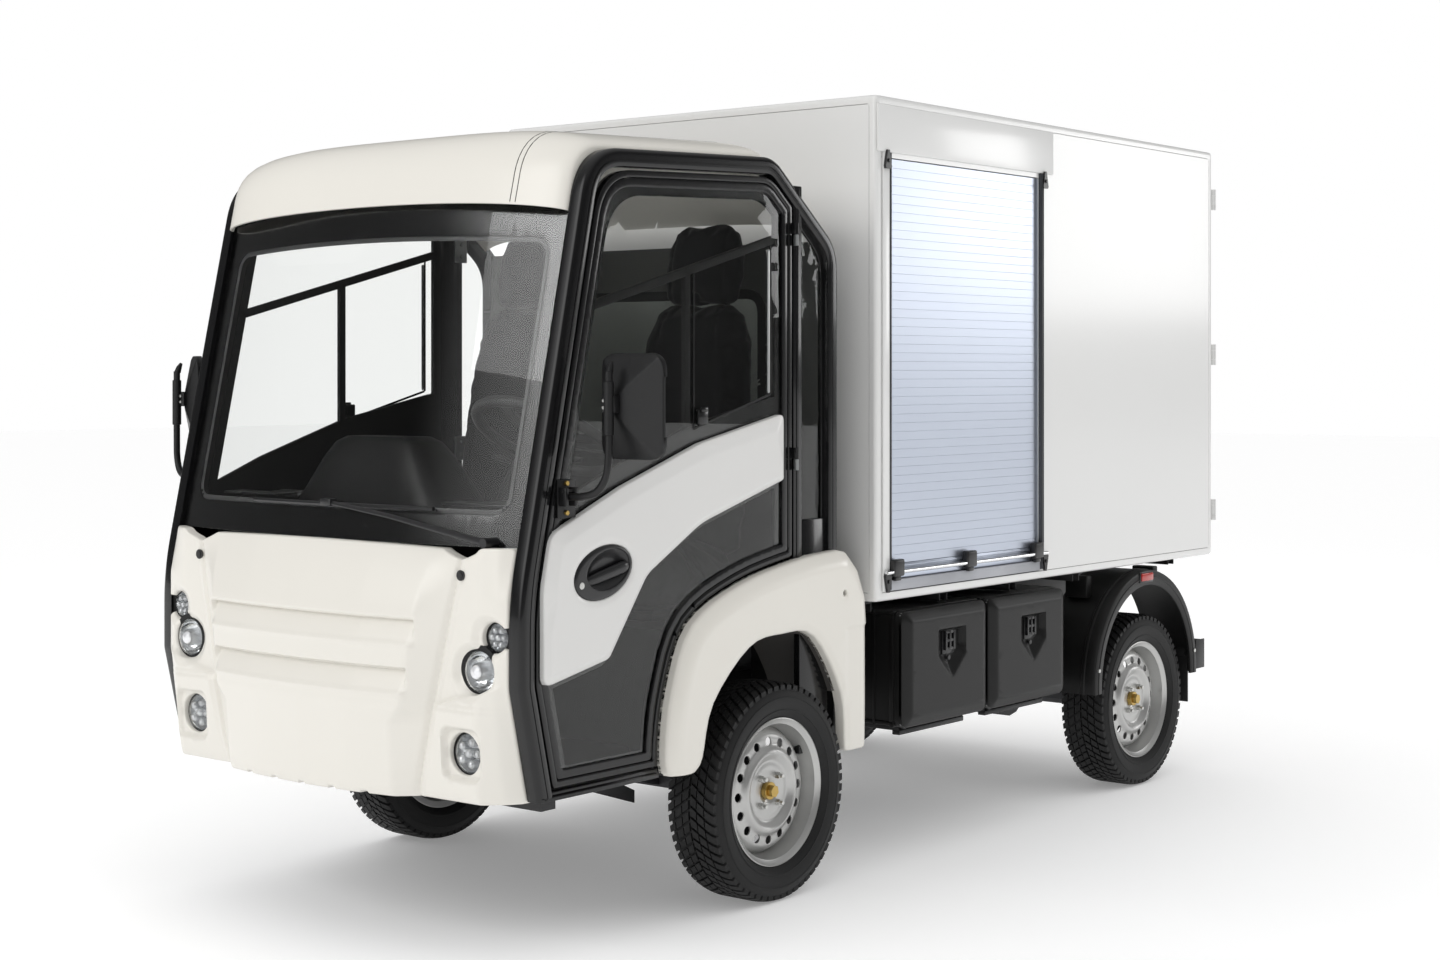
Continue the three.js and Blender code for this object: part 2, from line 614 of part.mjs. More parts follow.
const paneSlab = block([doorInnerX + 16 + gap, doorInnerX + 20], [-2000, 2000], [0, 3000]);
addPair('door_pane', common(doorZone(doorGap, doorRail + gap), paneSlab), tintedGlass);

const doorPanelShape = rounded([
  [-874, 648, 24], [-640, 698, 26], [-512, 888, 90], [-300, 1002, 300], [44, 1098, 10],
  [44, 1278, 16], [-300, 1205, 300], [-610, 1104, 120], [-848, 1004, 50], [-874, 900, 200]]);
const doorPanel = new THREE.ExtrudeGeometry(doorPanelShape, {
  depth: doorPanelThick, bevelThickness: 8, bevelSize: 8, bevelOffset: -8, bevelSegments: 1, curveSegments: 5});
doorPanel.applyMatrix4(alongX).translate(cabHalf - 2 - doorPanelThick + 8, 0, 0);
addPair('door_panel', common(doorPanel, block([cabHalf - 2 + gap, 760], [-1000, 200], [600, 1400])), warmWhite);

const mirrorHead = block([cabHalf + 66, cabHalf + 254], [-770, -722], [1178, 1424]);
const mirrorRoute = new THREE.CatmullRomCurve3([
  [12, -800, 1090], [60, -800, 1092], [118, -792, 1118], [132, -786, 1180], [132, -786, 1380],
].map(([out, y, z]) => new THREE.Vector3(cabHalf + out, y, z)), false, 'catmullrom', 0.4);
const circle = new THREE.Shape().absarc(0, 0, 11, 0, 2 * Math.PI);
const mirrorArm = new THREE.ExtrudeGeometry(circle, {
  steps: 10, curveSegments: 3, bevelEnabled: false, extrudePath: mirrorRoute});
const mirrorFoot = block([cabHalf - 2 + gap, cabHalf + 24], [-820, -756], [1062, 1132]);
const mirrorClamp = block([cabHalf + 120, cabHalf + 144], [-790, -765], [1260, 1340]);
addPair('mirror', join(mirrorHead, mirrorArm, mirrorFoot, mirrorClamp), blackPlastic);

// ---------------------------------------------------------------- cab inside

// Each seat reaches from 100 off the middle to 70 off the hoop; the steering wheel is in front of one.
const seatHalf = (hoopInnerX - 70 - 100) / 2;
const seatX = 100 + seatHalf;
const dashSide = rounded([
  [-822, 905], [-822, 1010], [-700, 1050], [-600, 1040, 30], [-520, 990, 30], [-530, 860, 20], [-620, 760],
  [-822, 760]].reverse());
const dashHalf = hoopInnerX - 8;
const dashHump = prismY(rounded([[-300, 1000], [150, 1000], [60, 1165, 60], [-240, 1165, 60]]), -760, -560);
const wheelCentre = [seatX, -500, 1215];
const wheelTilt = Math.PI / 6;
const wheelAxis = [0, Math.sin(wheelTilt), Math.cos(wheelTilt)];
const below = (distance) => wheelCentre.map((value, i) => value - wheelAxis[i] * distance);
const column = rod(34, below(300), below(38), 16);
add('dashboard', join(prismX(dashSide, -dashHalf, dashHalf), dashHump, column), blackPlastic);

const rimRing = new THREE.TorusGeometry(185, 14, 6, 24);
const hub = new THREE.CylinderGeometry(58, 46, 34, 20).rotateX(Math.PI / 2).translate(0, 0, -18);
const spokes = [90, 210, 330].map((degrees) =>
  new THREE.BoxGeometry(150, 34, 12).translate(110, 0, -8).rotateZ(THREE.MathUtils.degToRad(degrees + 180)));
const steeringWheel = add('steering_wheel', join(rimRing, hub, ...spokes), blackPlastic, wheelCentre);
steeringWheel.rotation.x = -wheelTilt;

const seatSide = rounded([
  [-340, 760], [80, 760], [100, 800], [190, 1580, 40], [100, 1580, 40], [0, 960, 40], [-340, 930, 50]]);
const headrestSide = rounded([[112, 1540], [178, 1540], [196, 1800, 30], [126, 1800, 30]]);
const seatFoot = block([seatX - seatHalf + 45, seatX + seatHalf - 45], [-300, 80], [seatDeckZ + gap, 770]);
addPair('seat', join(prismX(seatSide, seatX - seatHalf, seatX + seatHalf),
  prismX(headrestSide, seatX - seatHalf + 90, seatX + seatHalf - 90), seatFoot), seatCloth);

// ---------------------------------------------------------------- load box

const boxHalf = boxWidth / 2;
const boxRearY = boxFrontY + boxLength;
const wallZ = [boxBottomZ + boxBaseThick + gap, boxTopZ - wallThick - gap];
const wallY = [boxFrontY + wallThick + gap, boxRearY];
const leafOuterY = boxRearY - 2;
const deckHalf = boxHalf - wallThick - gap;
const deck = block([-deckHalf, deckHalf], [boxFrontY + wallThick + gap, leafOuterY - rearDoorThick - running],
  [boxBottomZ + boxBaseThick - 1, boxBottomZ + boxFloorThick]);
add('box_floor', join(block([-boxHalf, boxHalf], [boxFrontY, boxRearY], [boxBottomZ, boxBottomZ + boxBaseThick]),
  deck), boxWhite);
add('box_roof', block([-boxHalf, boxHalf], [boxFrontY, boxRearY], [boxTopZ - wallThick, boxTopZ]), boxWhite);
add('box_front_wall', block([-boxHalf, boxHalf], [boxFrontY, boxFrontY + wallThick], wallZ), boxWhite);
add('box_right_wall', block([-boxHalf, -boxHalf + wallThick], wallY, wallZ), boxWhite);
const shutterTopZ = boxTopZ - shutterHeader;
const doorway = block([0, boxHalf + 10], [shutterY0, shutterY1], [0, shutterTopZ]);
add('box_left_wall', cut(block([boxHalf - wallThick, boxHalf], wallY, wallZ), doorway), boxWhite);

const shutterX = boxHalf - 6;
add('shutter_curtain', block([shutterX - shutterThick, shutterX],
  [shutterY0 + gap, shutterY1 - gap], [wallZ[0], shutterTopZ - gap]), anodised);
const frameOuter = rectangle([shutterY0 - guideWidth, shutterY1 + 20], [boxBottomZ + 28, shutterTopZ + 20]);
frameOuter.holes.push(rectangle([shutterY0 + 6, shutterY1 - 22], [boxBottomZ + 70, shutterTopZ - 6]));
add('shutter_frame', prismX(frameOuter, boxHalf + gap, boxHalf + 8), blackSteel);

const leaf = block([rearDoorGap / 2, boxHalf - wallThick - rearDoorGap],
  [leafOuterY - rearDoorThick, leafOuterY], [wallZ[0] + 6, wallZ[1] - 6]);
addPair('rear_door', leaf, boxWhite);

// ---------------------------------------------------------------- toolboxes

const toolboxInnerX = railX + railWidth / 2 + 20;
function toolbox(y) {
  const outside = block([toolboxInnerX, toolboxMouthX], [y, y + toolboxLength], [toolboxBottomZ, toolboxTopZ]);
  const inside = block([toolboxInnerX + toolboxWall, toolboxMouthX + 10],
    [y + toolboxWall, y + toolboxLength - toolboxWall],
    [toolboxBottomZ + toolboxWall, toolboxTopZ - toolboxWall]);
  return cut(outside, inside);
}

const toolboxRail = block([railX + railWidth / 2 + gap, toolboxInnerX + 6],
  [toolboxY[0] + 20, toolboxY[1] + toolboxLength - 20], [450, 510]);
addPair('toolboxes', join(...toolboxY.map(toolbox), toolboxRail), blackPlastic);

const lidX = toolboxMouthX + running;
const lidNames = ['front', 'rear'];
toolboxY.forEach((y, i) => {
  const lidShape = rectangle([y - 6, y + toolboxLength + 2], [toolboxBottomZ - 6, toolboxTopZ], 30);
  const lid = new THREE.ExtrudeGeometry(lidShape, {
    depth: lidThick - 2 * lidBevel, bevelThickness: lidBevel, bevelSize: 20, bevelOffset: -20,
    bevelSegments: 1, curveSegments: 4});
  lid.applyMatrix4(alongX).translate(lidX + lidBevel, 0, 0);
  addPair(`toolbox_lid_${lidNames[i]}`, lid, blackPlastic);
});

// ---------------------------------------------------------------- mudguards and rear beam

const guardArc = Array.from({ length: 13 }, (_, i) => {
  const angle = Math.PI * (1 - i / 12);
  return new THREE.Vector2(wheelbase - 15 + guardRadius * Math.cos(angle),
    guardCentreZ + guardRadius * Math.sin(angle));
});
const guardShell = prismX(between(beside(guardArc, 0), beside(guardArc, -guardThick)), guardInnerX, guardOuterX);
const guardLip = prismX(between(beside(guardArc, 0), beside(guardArc, -42)), guardOuterX - 14, guardOuterX);
const flap = block([520, 662], [wheelbase + 330, wheelbase + 338], [236, 420]);
addPair('mudguard', join(guardShell, guardLip, flap), blackPlastic);

add('rear_beam', join(block([-beamHalf, beamHalf], [beamY, beamY + beamDepth], [beamBottomZ, beamTopZ]),
  block([-railX - 30, -railX + 30], [railRearY + gap, beamY + 20], [beamTopZ - 20, railTopZ]),
  block([railX - 30, railX + 30], [railRearY + gap, beamY + 20], [beamTopZ - 20, railTopZ])), blackSteel);

// ---------------------------------------------------------------- placing

// The origin is on the ground, under the middle of the whole length.
const frontmostY = new THREE.Box3().setFromObject(truck).min.y;
truck.position.y = -(frontmostY + boxRearY) / 2;
const root = new THREE.Group();
root.add(truck);
export default root;
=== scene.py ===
import math
import bmesh
import bpy
import numpy as np
from mathutils import Matrix, Vector


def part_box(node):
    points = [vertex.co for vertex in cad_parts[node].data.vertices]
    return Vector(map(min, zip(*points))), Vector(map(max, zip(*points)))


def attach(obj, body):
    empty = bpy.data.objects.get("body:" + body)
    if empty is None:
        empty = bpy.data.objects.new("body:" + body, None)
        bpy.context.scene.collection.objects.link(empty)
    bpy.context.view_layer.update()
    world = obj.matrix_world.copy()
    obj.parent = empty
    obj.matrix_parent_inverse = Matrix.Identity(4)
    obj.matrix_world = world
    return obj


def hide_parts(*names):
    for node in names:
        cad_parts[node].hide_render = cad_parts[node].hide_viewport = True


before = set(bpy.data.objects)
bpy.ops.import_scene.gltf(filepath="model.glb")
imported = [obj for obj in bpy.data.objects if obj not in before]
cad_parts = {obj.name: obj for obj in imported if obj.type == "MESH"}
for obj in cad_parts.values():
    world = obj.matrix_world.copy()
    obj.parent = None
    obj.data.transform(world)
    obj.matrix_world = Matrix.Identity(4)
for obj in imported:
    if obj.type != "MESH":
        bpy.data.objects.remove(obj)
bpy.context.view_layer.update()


# ---- Studio: a pale floor in a pale room, a soft key light before the cab, a tall soft panel behind the
# ---- left side that the box mirrors, and the camera at the height of a standing person's chest.

scene = bpy.context.scene
scene.view_settings.view_transform = "Standard"

camera = bpy.data.objects.new("camera", bpy.data.cameras.new("camera"))
camera.location = (4.1275, -5.2696, 1.3813)
camera.rotation_euler = (math.radians(90), 0, math.radians(38.637))
camera.data.lens = 54.68
camera.data.shift_y = -0.0753
scene.collection.objects.link(camera)
scene.camera = camera

# A pale room: white where it is seen directly or through glass, dim at the horizon where it is mirrored, and
# dimmer for the light that only reaches the cab's inside through its panes.
world = bpy.data.worlds.new("studio")
world.use_nodes = True
room, room_links = world.node_tree.nodes, world.node_tree.links
facing = room.new("ShaderNodeTexCoord")
height = room.new("ShaderNodeSeparateXYZ")
room_links.new(facing.outputs["Generated"], height.inputs[0])
ray = room.new("ShaderNodeLightPath")


def room_shade(at_horizon, overhead, rise=0.0):
    shade = room.new("ShaderNodeMapRange")
    shade.inputs["From Min"].default_value = rise
    shade.inputs["To Min"].default_value = at_horizon
    shade.inputs["To Max"].default_value = overhead
    room_links.new(height.outputs["Z"], shade.inputs["Value"])
    return shade.outputs["Result"]


def add_glow(shade, toward, wide, narrow, bright):
    """A soft round glow in the room, full inside the narrow angle and gone outside the wide one."""
    toward = Vector(toward).normalized()
    near = room.new("ShaderNodeVectorMath")
    near.operation = "DOT_PRODUCT"
    near.inputs[1].default_value = toward
    room_links.new(facing.outputs["Generated"], near.inputs[0])
    fall = room.new("ShaderNodeMapRange")
    fall.interpolation_type = "SMOOTHSTEP"
    fall.inputs["From Min"].default_value = math.cos(math.radians(wide))
    fall.inputs["From Max"].default_value = math.cos(math.radians(narrow))
    fall.inputs["To Max"].default_value = bright
    room_links.new(near.outputs["Value"], fall.inputs["Value"])
    summed = room.new("ShaderNodeMath")
    room_links.new(shade, summed.inputs[0])
    room_links.new(fall.outputs["Result"], summed.inputs[1])
    return summed.outputs[0]


def chosen(test, yes, no):
    pick = room.new("ShaderNodeMix")
    room_links.new(test, pick.inputs[0])
    if isinstance(no, float):
        pick.inputs[2].default_value = no
    else:
        room_links.new(no, pick.inputs[2])
    if isinstance(yes, float):
        pick.inputs[3].default_value = yes
    else:
        room_links.new(yes, pick.inputs[3])
    return pick.outputs[0]


mirrored = add_glow(room_shade(0.09, 0.55, 0.35), (-0.16, -0.89, 0.42), 30, 6, 2.2)
strength = chosen(ray.outputs["Is Glossy Ray"], mirrored, room_shade(0.42, 1.05))
through_glass = chosen(ray.outputs["Diffuse Depth"], 0.22, chosen(ray.outputs["Glossy Depth"], mirrored, 1.04))
strength = chosen(ray.outputs["Is Transmission Ray"], through_glass, strength)
strength = chosen(ray.outputs["Is Camera Ray"], 1.0, strength)
room_links.new(strength, room["Background"].inputs["Strength"])
room["Background"].inputs["Color"].default_value = (1.0, 1.0, 1.0, 1)
scene.world = world


def soft_light(name, place, aim, size, watts):
    lamp = bpy.data.lights.new(name, "AREA")
    lamp.shape = "RECTANGLE"
    lamp.size, lamp.size_y = size
    lamp.energy = watts
    light = bpy.data.objects.new(name, lamp)
    light.location = place
    light.rotation_euler = (Vector(aim) - Vector(place)).to_track_quat("-Z", "Y").to_euler()
    scene.collection.objects.link(light)
    return light


front_key = soft_light("front_key", (-1.5, -6.5, 4.6), (0, 0, 0.6), (3.2, 2.4), 105)
soft_light("side_panel", (5.13, 8.185, 2.7), (1.39, 1.135, 2.3), (2.75, 1.86), 64)
side_fill = soft_light("side_fill", (6.5, 1.5, 3.4), (0.7, 0.8, 0.9), (4.0, 3.0), 8)
front_key.visible_glossy = side_fill.visible_glossy = False

floor_mesh = bpy.data.meshes.new("floor")
floor_half = 40.0
floor_mesh.from_pydata([(-floor_half, -floor_half, 0), (floor_half, -floor_half, 0),
                        (floor_half, floor_half, 0), (-floor_half, floor_half, 0)], [], [(0, 1, 2, 3)])
floor_paint = bpy.data.materials.new("floor_paint")
floor_paint.use_nodes = True
floor_shader = floor_paint.node_tree.nodes["Principled BSDF"]
floor_shader.inputs["Base Color"].default_value = (0.93, 0.93, 0.93, 1)
floor_shader.inputs["Roughness"].default_value = 0.9
floor_shader.inputs["Specular IOR Level"].default_value = 0.1
floor_shader.inputs["Emission Color"].default_value = (1, 1, 1, 1)
floor_shader.inputs["Emission Strength"].default_value = 0.22
floor_mesh.materials.append(floor_paint)
floor = bpy.data.objects.new("floor", floor_mesh)
scene.collection.objects.link(floor)


# ---- Chassis: a ladder of rectangular steel tube, welded, shot-blasted and powder-coated satin black,
# ---- with cross bearers for the load box and the sealed battery housing bolted between its rails.

def finish(name, color, roughness, metallic=0.0, grain=350.0, relief=0.04, mottle=0.05, coat=0.0, gloss=0.5):
    """A surface whose shade, gloss and height wander a little, in object coordinates."""
    material = bpy.data.materials.new(name)
    material.use_nodes = True
    nodes, links = material.node_tree.nodes, material.node_tree.links
    shader = nodes["Principled BSDF"]
    shader.inputs["Metallic"].default_value = metallic
    shader.inputs["Coat Weight"].default_value = coat
    shader.inputs["Coat Roughness"].default_value = 0.08
    shader.inputs["Specular IOR Level"].default_value = gloss
    place = nodes.new("ShaderNodeTexCoord")
    broad = nodes.new("ShaderNodeTexNoise")
    broad.inputs["Scale"].default_value = 2.5
    broad.inputs["Detail"].default_value = 5.0
    fine = nodes.new("ShaderNodeTexNoise")
    fine.inputs["Scale"].default_value = grain
    links.new(place.outputs["Object"], broad.inputs["Vector"])
    links.new(place.outputs["Object"], fine.inputs["Vector"])
    shade = nodes.new("ShaderNodeMix")
    shade.data_type = "RGBA"
    shade.inputs[6].default_value = (*[c * (1 - mottle) for c in color], 1)
    shade.inputs[7].default_value = (*[min(1, c * (1 + mottle)) for c in color], 1)
    links.new(broad.outputs["Fac"], shade.inputs[0])
    links.new(shade.outputs[2], shader.inputs["Base Color"])
    sheen = nodes.new("ShaderNodeMapRange")
    sheen.inputs["To Min"].default_value = roughness * 0.85
    sheen.inputs["To Max"].default_value = min(1, roughness * 1.15)
    links.new(fine.outputs["Fac"], sheen.inputs["Value"])
    links.new(sheen.outputs["Result"], shader.inputs["Roughness"])
    bump = nodes.new("ShaderNodeBump")
    bump.inputs["Strength"].default_value = relief
    bump.inputs["Distance"].default_value = 0.001
    links.new(fine.outputs["Fac"], bump.inputs["Height"])
    links.new(bump.outputs["Normal"], shader.inputs["Normal"])
    return material


def paint(material, *nodes):
    for node in nodes:
        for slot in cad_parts[node].material_slots:
            slot.material = material


chassis_coat = finish("chassis_coat", (0.012, 0.012, 0.013), 0.42, grain=900, relief=0.15)
battery_coat = finish("battery_coat", (0.045, 0.047, 0.05), 0.55, grain=600, relief=0.2)
paint(chassis_coat, "chassis_frame")
paint(battery_coat, "battery_pack")


# ---- Axles: a forged front beam with kingpin eyes and two knuckles, and a rear tube with the drive unit
# ---- and leaf springs. Cast and forged steel, dipped in dark primer; the machined ends are left bright.

cast_metal = finish("cast_metal", (0.06, 0.06, 0.064), 0.5, metallic=0.5, grain=220, relief=0.5, mottle=0.15)
paint(cast_metal, "front_axle", "rear_axle", "knuckle_left", "knuckle_right")


# ---- Tyres: winter tyres, 165 wide on 14-inch rims. Moulded rubber with smooth rounded walls, raised
# ---- rings, and a directional tread of slanted blocks pressed in the mould.

axle_low, axle_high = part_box("tyre_front_left")
axle_y = (axle_low.y + axle_high.y) / 2
tyre_radius = (axle_high.z - axle_low.z) / 2
WHEELS = {}
for end in ("front", "rear"):
    for side, sign in (("left", 1), ("right", -1)):
        low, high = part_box(f"tyre_{end}_{side}")
        WHEELS[f"{end}_{side}"] = ((low + high) / 2, sign, f"wheel_{end}_{side}_body")


class Shape:
    """Closed solids gathered in one mesh. Lengths are in metres, and y counts from the front axle."""

    def __init__(self):
        self.bm = bmesh.new()

    def add(self, points, faces):
        made = [self.bm.verts.new(p) for p in points]
        for face in faces:
            self.bm.faces.new([made[i] for i in face])
        return made

    def tube(self, rings, close=True, caps=False):
        """Skin rings of points; close joins the last ring to the first."""
        count = len(rings[0])
        points = [p for ring in rings for p in ring]
        turns = len(rings) if close else len(rings) - 1
        faces = [(i * count + j, i * count + (j + 1) % count,
                  (i + 1) % len(rings) * count + (j + 1) % count, (i + 1) % len(rings) * count + j)
                 for i in range(turns) for j in range(count)]
        if caps:
            faces += [tuple(range(count)), tuple(range((len(rings) - 1) * count, len(rings) * count))[::-1]]
        return self.add(points, faces)

    def lathe(self, profile, centre, sides=96):
        """A closed profile of (radius, distance along +X) turned about the X axis through centre."""
        rings = []
        for k in range(sides):
            angle = math.tau * k / sides
            rings.append([(centre[0] + w, centre[1] + r * math.cos(angle), centre[2] + r * math.sin(angle))
                          for r, w in profile])
        return self.tube(rings)

    def block(self, low, high, bevel=0.0015, segments=2):
        low, high = Vector(low), Vector(high)
        size = Matrix.Diagonal((*(high - low), 1))
        made = bmesh.ops.create_cube(self.bm, size=1, matrix=Matrix.Translation((low + high) / 2) @ size)
        edges = list({e for v in made["verts"] for e in v.link_edges})
        if bevel:
            bmesh.ops.bevel(self.bm, geom=edges, offset=bevel, segments=segments, profile=0.5, affect="EDGES")

    def rod(self, start, end, radius, sides=24, end_radius=None, chamfer=0.0008):
        start, end = Vector(start), Vector(end)
        along = (end - start).normalized()
        side = along.orthogonal().normalized()
        other = along.cross(side)
        last = radius if end_radius is None else end_radius
        length = (end - start).length
        stations = [(0, radius - chamfer), (chamfer, radius), (length - chamfer, last), (length, last - chamfer)]
        rings = [[start + along * d + (side * math.cos(a) + other * math.sin(a)) * r
                  for a in (math.tau * k / sides for k in range(sides))] for d, r in stations]
        self.tube(rings, close=False, caps=True)

    def mesh(self, name, centre=False):
        """The shape as a plain mesh in the part's frame; a shape made about its own centre isn't moved."""
        if not centre:
            bmesh.ops.translate(self.bm, verts=self.bm.verts, vec=(0, axle_y, 0))
        bmesh.ops.recalc_face_normals(self.bm, faces=self.bm.faces)
        mesh = bpy.data.meshes.new(name)
        self.bm.to_mesh(mesh)
        self.bm.free()
        return mesh

    def piece(self, name, material, body, slot, *stands_for, mirror=False, crease=35, centre=False):
        if mirror:
            bmesh.ops.scale(self.bm, verts=self.bm.verts, vec=(-1, 1, 1))
        bmesh.ops.remove_doubles(self.bm, verts=self.bm.verts, dist=1e-6)
        mesh = self.mesh(name, centre)
        mesh.polygons.foreach_set("use_smooth", [True] * len(mesh.polygons))
        mesh.set_sharp_from_angle(angle=math.radians(crease))
        return place_mesh(name, mesh, material, body, slot, *stands_for)


def place_mesh(name, mesh, material, body, slot, *stands_for):
    mesh.name = name
    mesh.materials.clear()
    mesh.materials.append(material)
    made = bpy.data.objects.new(name, mesh)
    scene.collection.objects.link(made)
    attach(made, body)
    if stands_for:
        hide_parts(*stands_for)
    return made


def copies_tree(name, sizes, lay_out):
    """Geometry Nodes that set copies of the mesh they are given on the points that lay_out makes."""
    tree = bpy.data.node_groups.new(name, "GeometryNodeTree")
    panel = tree.interface
    for label, kind in (("Geometry", "Geometry"), *sizes, ("Finish", "Material")):
        panel.new_socket(label, in_out="INPUT", socket_type="NodeSocket" + kind)
    panel.new_socket("Geometry", in_out="OUTPUT", socket_type="NodeSocketGeometry")
    nodes, links = tree.nodes, tree.links
    given, out = nodes.new("NodeGroupInput"), nodes.new("NodeGroupOutput")
    copies = nodes.new("GeometryNodeInstanceOnPoints")
    lay_out(nodes, links, given.outputs, copies.inputs)
    links.new(given.outputs["Geometry"], copies.inputs["Instance"])
    real = nodes.new("GeometryNodeRealizeInstances")
    links.new(copies.outputs[0], real.inputs[0])
    coat = nodes.new("GeometryNodeSetMaterial")
    links.new(real.outputs[0], coat.inputs["Geometry"])
    links.new(given.outputs["Finish"], coat.inputs["Material"])
    links.new(coat.outputs[0], out.inputs[0])
    return tree


def round_the_axle(nodes, links, given, copies):
    """Copies turned evenly about the X axis through a centre."""
    points = nodes.new("GeometryNodePoints")
    links.new(given["Count"], points.inputs["Count"])
    links.new(given["Centre"], points.inputs["Position"])
    index = nodes.new("GeometryNodeInputIndex")
    share = nodes.new("ShaderNodeMath")
    share.operation = "DIVIDE"
    links.new(index.outputs["Index"], share.inputs[0])
    links.new(given["Count"], share.inputs[1])
    turn = nodes.new("ShaderNodeMath")
    turn.operation = "MULTIPLY"
    turn.inputs[1].default_value = math.tau
    links.new(share.outputs[0], turn.inputs[0])
    spin = nodes.new("ShaderNodeCombineXYZ")
    links.new(turn.outputs[0], spin.inputs["X"])
    rotation = nodes.new("FunctionNodeEulerToRotation")
    links.new(spin.outputs[0], rotation.inputs[0])
    links.new(points.outputs[0], copies["Points"])
    links.new(rotation.outputs[0], copies["Rotation"])


def grown(mesh, tree, **inputs):
    """The plain mesh that a node tree makes of a mesh."""
    holder = bpy.data.objects.new("holder", mesh)
    scene.collection.objects.link(holder)
    modifier = holder.modifiers.new("grow", "NODES")
    modifier.node_group = tree
    for item in tree.interface.items_tree:
        if item.in_out == "INPUT" and item.name in inputs:
            modifier[item.identifier] = inputs[item.name]
    bpy.context.view_layer.update()
    result = bpy.data.meshes.new_from_object(holder.evaluated_get(bpy.context.evaluated_depsgraph_get()))
    bpy.data.objects.remove(holder)
    return result


TREAD_PITCHES = 62
TREAD_DEPTH = 0.007
TREAD_RINGS = [(0.003, 0.022), (0.0255, 0.046), (0.0495, 0.074)]   # inner and outer edge of each row of blocks
TREAD_SWEEP = 0.62                  # how far a block trails round the tyre for each metre outwards
tread_floor = tyre_radius - TREAD_DEPTH
tyre_profile = [
    (0.181, -0.056), (0.192, -0.06), (0.2, -0.071), (0.212, -0.077), (0.2125, -0.0785), (0.2155, -0.0787),
    (0.216, -0.0776), (0.232, -0.0815), (0.245, -0.0815), (0.2455, -0.0825), (0.2485, -0.082), (0.249, -0.0805),
    (0.262, -0.077), (0.272, -0.069), (tread_floor - 0.001, -0.058), (tread_floor, -0.03), (tread_floor, 0.03),
    (tread_floor - 0.001, 0.058), (0.272, 0.069), (0.262, 0.077), (0.249, 0.0805), (0.2485, 0.082),
    (0.2455, 0.0825), (0.245, 0.0815), (0.232, 0.0815), (0.216, 0.0776), (0.2155, 0.0787), (0.2125, 0.0785),
    (0.212, 0.077), (0.2, 0.071), (0.192, 0.06), (0.181, 0.056)]


def crown(w):
    """The tread's outside radius at a distance from the middle."""
    return tyre_radius - 0.0005 - 0.009 * max(0, (abs(w) - 0.045) / 0.035) ** 2


def tread_pitch():
    """One pitch of tread: on each side three blocks that trail outwards."""
    shape = Shape()
    arc = math.tau * tyre_radius / TREAD_PITCHES
    for side in (-1, 1):
        for row, (inner, outer) in enumerate(TREAD_RINGS):
            lag = arc / 2 if side > 0 else 0
            length = arc * (0.76 if row < 2 else 0.7)
            steps = [inner, (inner + outer) / 2, outer]
            rings = []
            for w in steps:
                start = lag + w * TREAD_SWEEP + 0.002 * row
                for radius in (tread_floor - 0.004 - 0.016 * max(0, (w - 0.06) / 0.02), crown(w)):
                    edge = 0.0006 if radius > tread_floor else 0
                    for s in (start + edge, start + length - edge):
                        angle = s / tyre_radius
                        rings.append((side * w, radius * math.sin(angle), -radius * math.cos(angle)))
            faces = []
            for i in range(2):
                a, b = i * 4, i * 4 + 4
                faces += [(a, a + 1, b + 1, b), (a + 2, b + 2, b + 3, a + 3),
                          (a, b, b + 2, a + 2), (a + 1, a + 3, b + 3, b + 1)]
            faces += [(0, 2, 3, 1), (8, 9, 11, 10)]
            shape.add(rings, faces)
    return shape.mesh("tread_pitch", centre=True)


black_rubber = finish("tyre_rubber_black", (0.0095, 0.0095, 0.0098), 0.6, grain=500, relief=0.25, mottle=0.12,
                      gloss=0.4)
wheel_ring = copies_tree("copies_round_a_wheel", [("Count", "Int"), ("Centre", "Vector")], round_the_axle)
for place, (centre, sign, body) in WHEELS.items():
    tread = grown(tread_pitch(), wheel_ring, Count=TREAD_PITCHES, Centre=(0.0, 0.0, 0.0), Finish=black_rubber)
    tyre = Shape()
    tyre.lathe(tyre_profile, (0, 0, 0), 120)
    tyre.bm.from_mesh(tread)
    bmesh.ops.translate(tyre.bm, verts=tyre.bm.verts, vec=centre)
    tyre.piece(f"tyre_{place}_moulded", black_rubber, body, "tyre_rubber", f"tyre_{place}", centre=True)


# ---- Rims: 14-inch steel wheels, a rolled rim with a pressed disc welded in. The disc has sixteen round
# ---- holes, a raised ring inside them, four studs and a brass centre nut; the whole is sprayed silver.

def polygon(points):
    """Signed distance to a closed outline, negative inside."""
    points = np.array(points, float)

    def distance(a, b):
        near = np.full(np.shape(a), 1e9)
        inside = np.zeros(np.shape(a), bool)
        for (x0, y0), (x1, y1) in zip(points, np.roll(points, -1, axis=0)):
            ex, ey = x1 - x0, y1 - y0
            t = np.clip(((a - x0) * ex + (b - y0) * ey) / max(ex * ex + ey * ey, 1e-18), 0, 1)
            near = np.minimum(near, (a - x0 - t * ex) ** 2 + (b - y0 - t * ey) ** 2)
            crosses = (y0 > b) != (y1 > b)
            if y1 != y0:
                inside ^= crosses & (a < ex * (b - y0) / ey + x0)
        return np.where(inside, -1, 1) * np.sqrt(near)
    return distance


def disc(a0, b0, radius):
    return lambda a, b: np.hypot(a - a0, b - b0) - radius


def without(base, *holes):
    """The base with the holes taken out."""
    return lambda a, b: np.maximum(base(a, b), -np.minimum.reduce([hole(a, b) for hole in holes]))


def both(one, two):
    return lambda a, b: np.maximum(one(a, b), two(a, b))


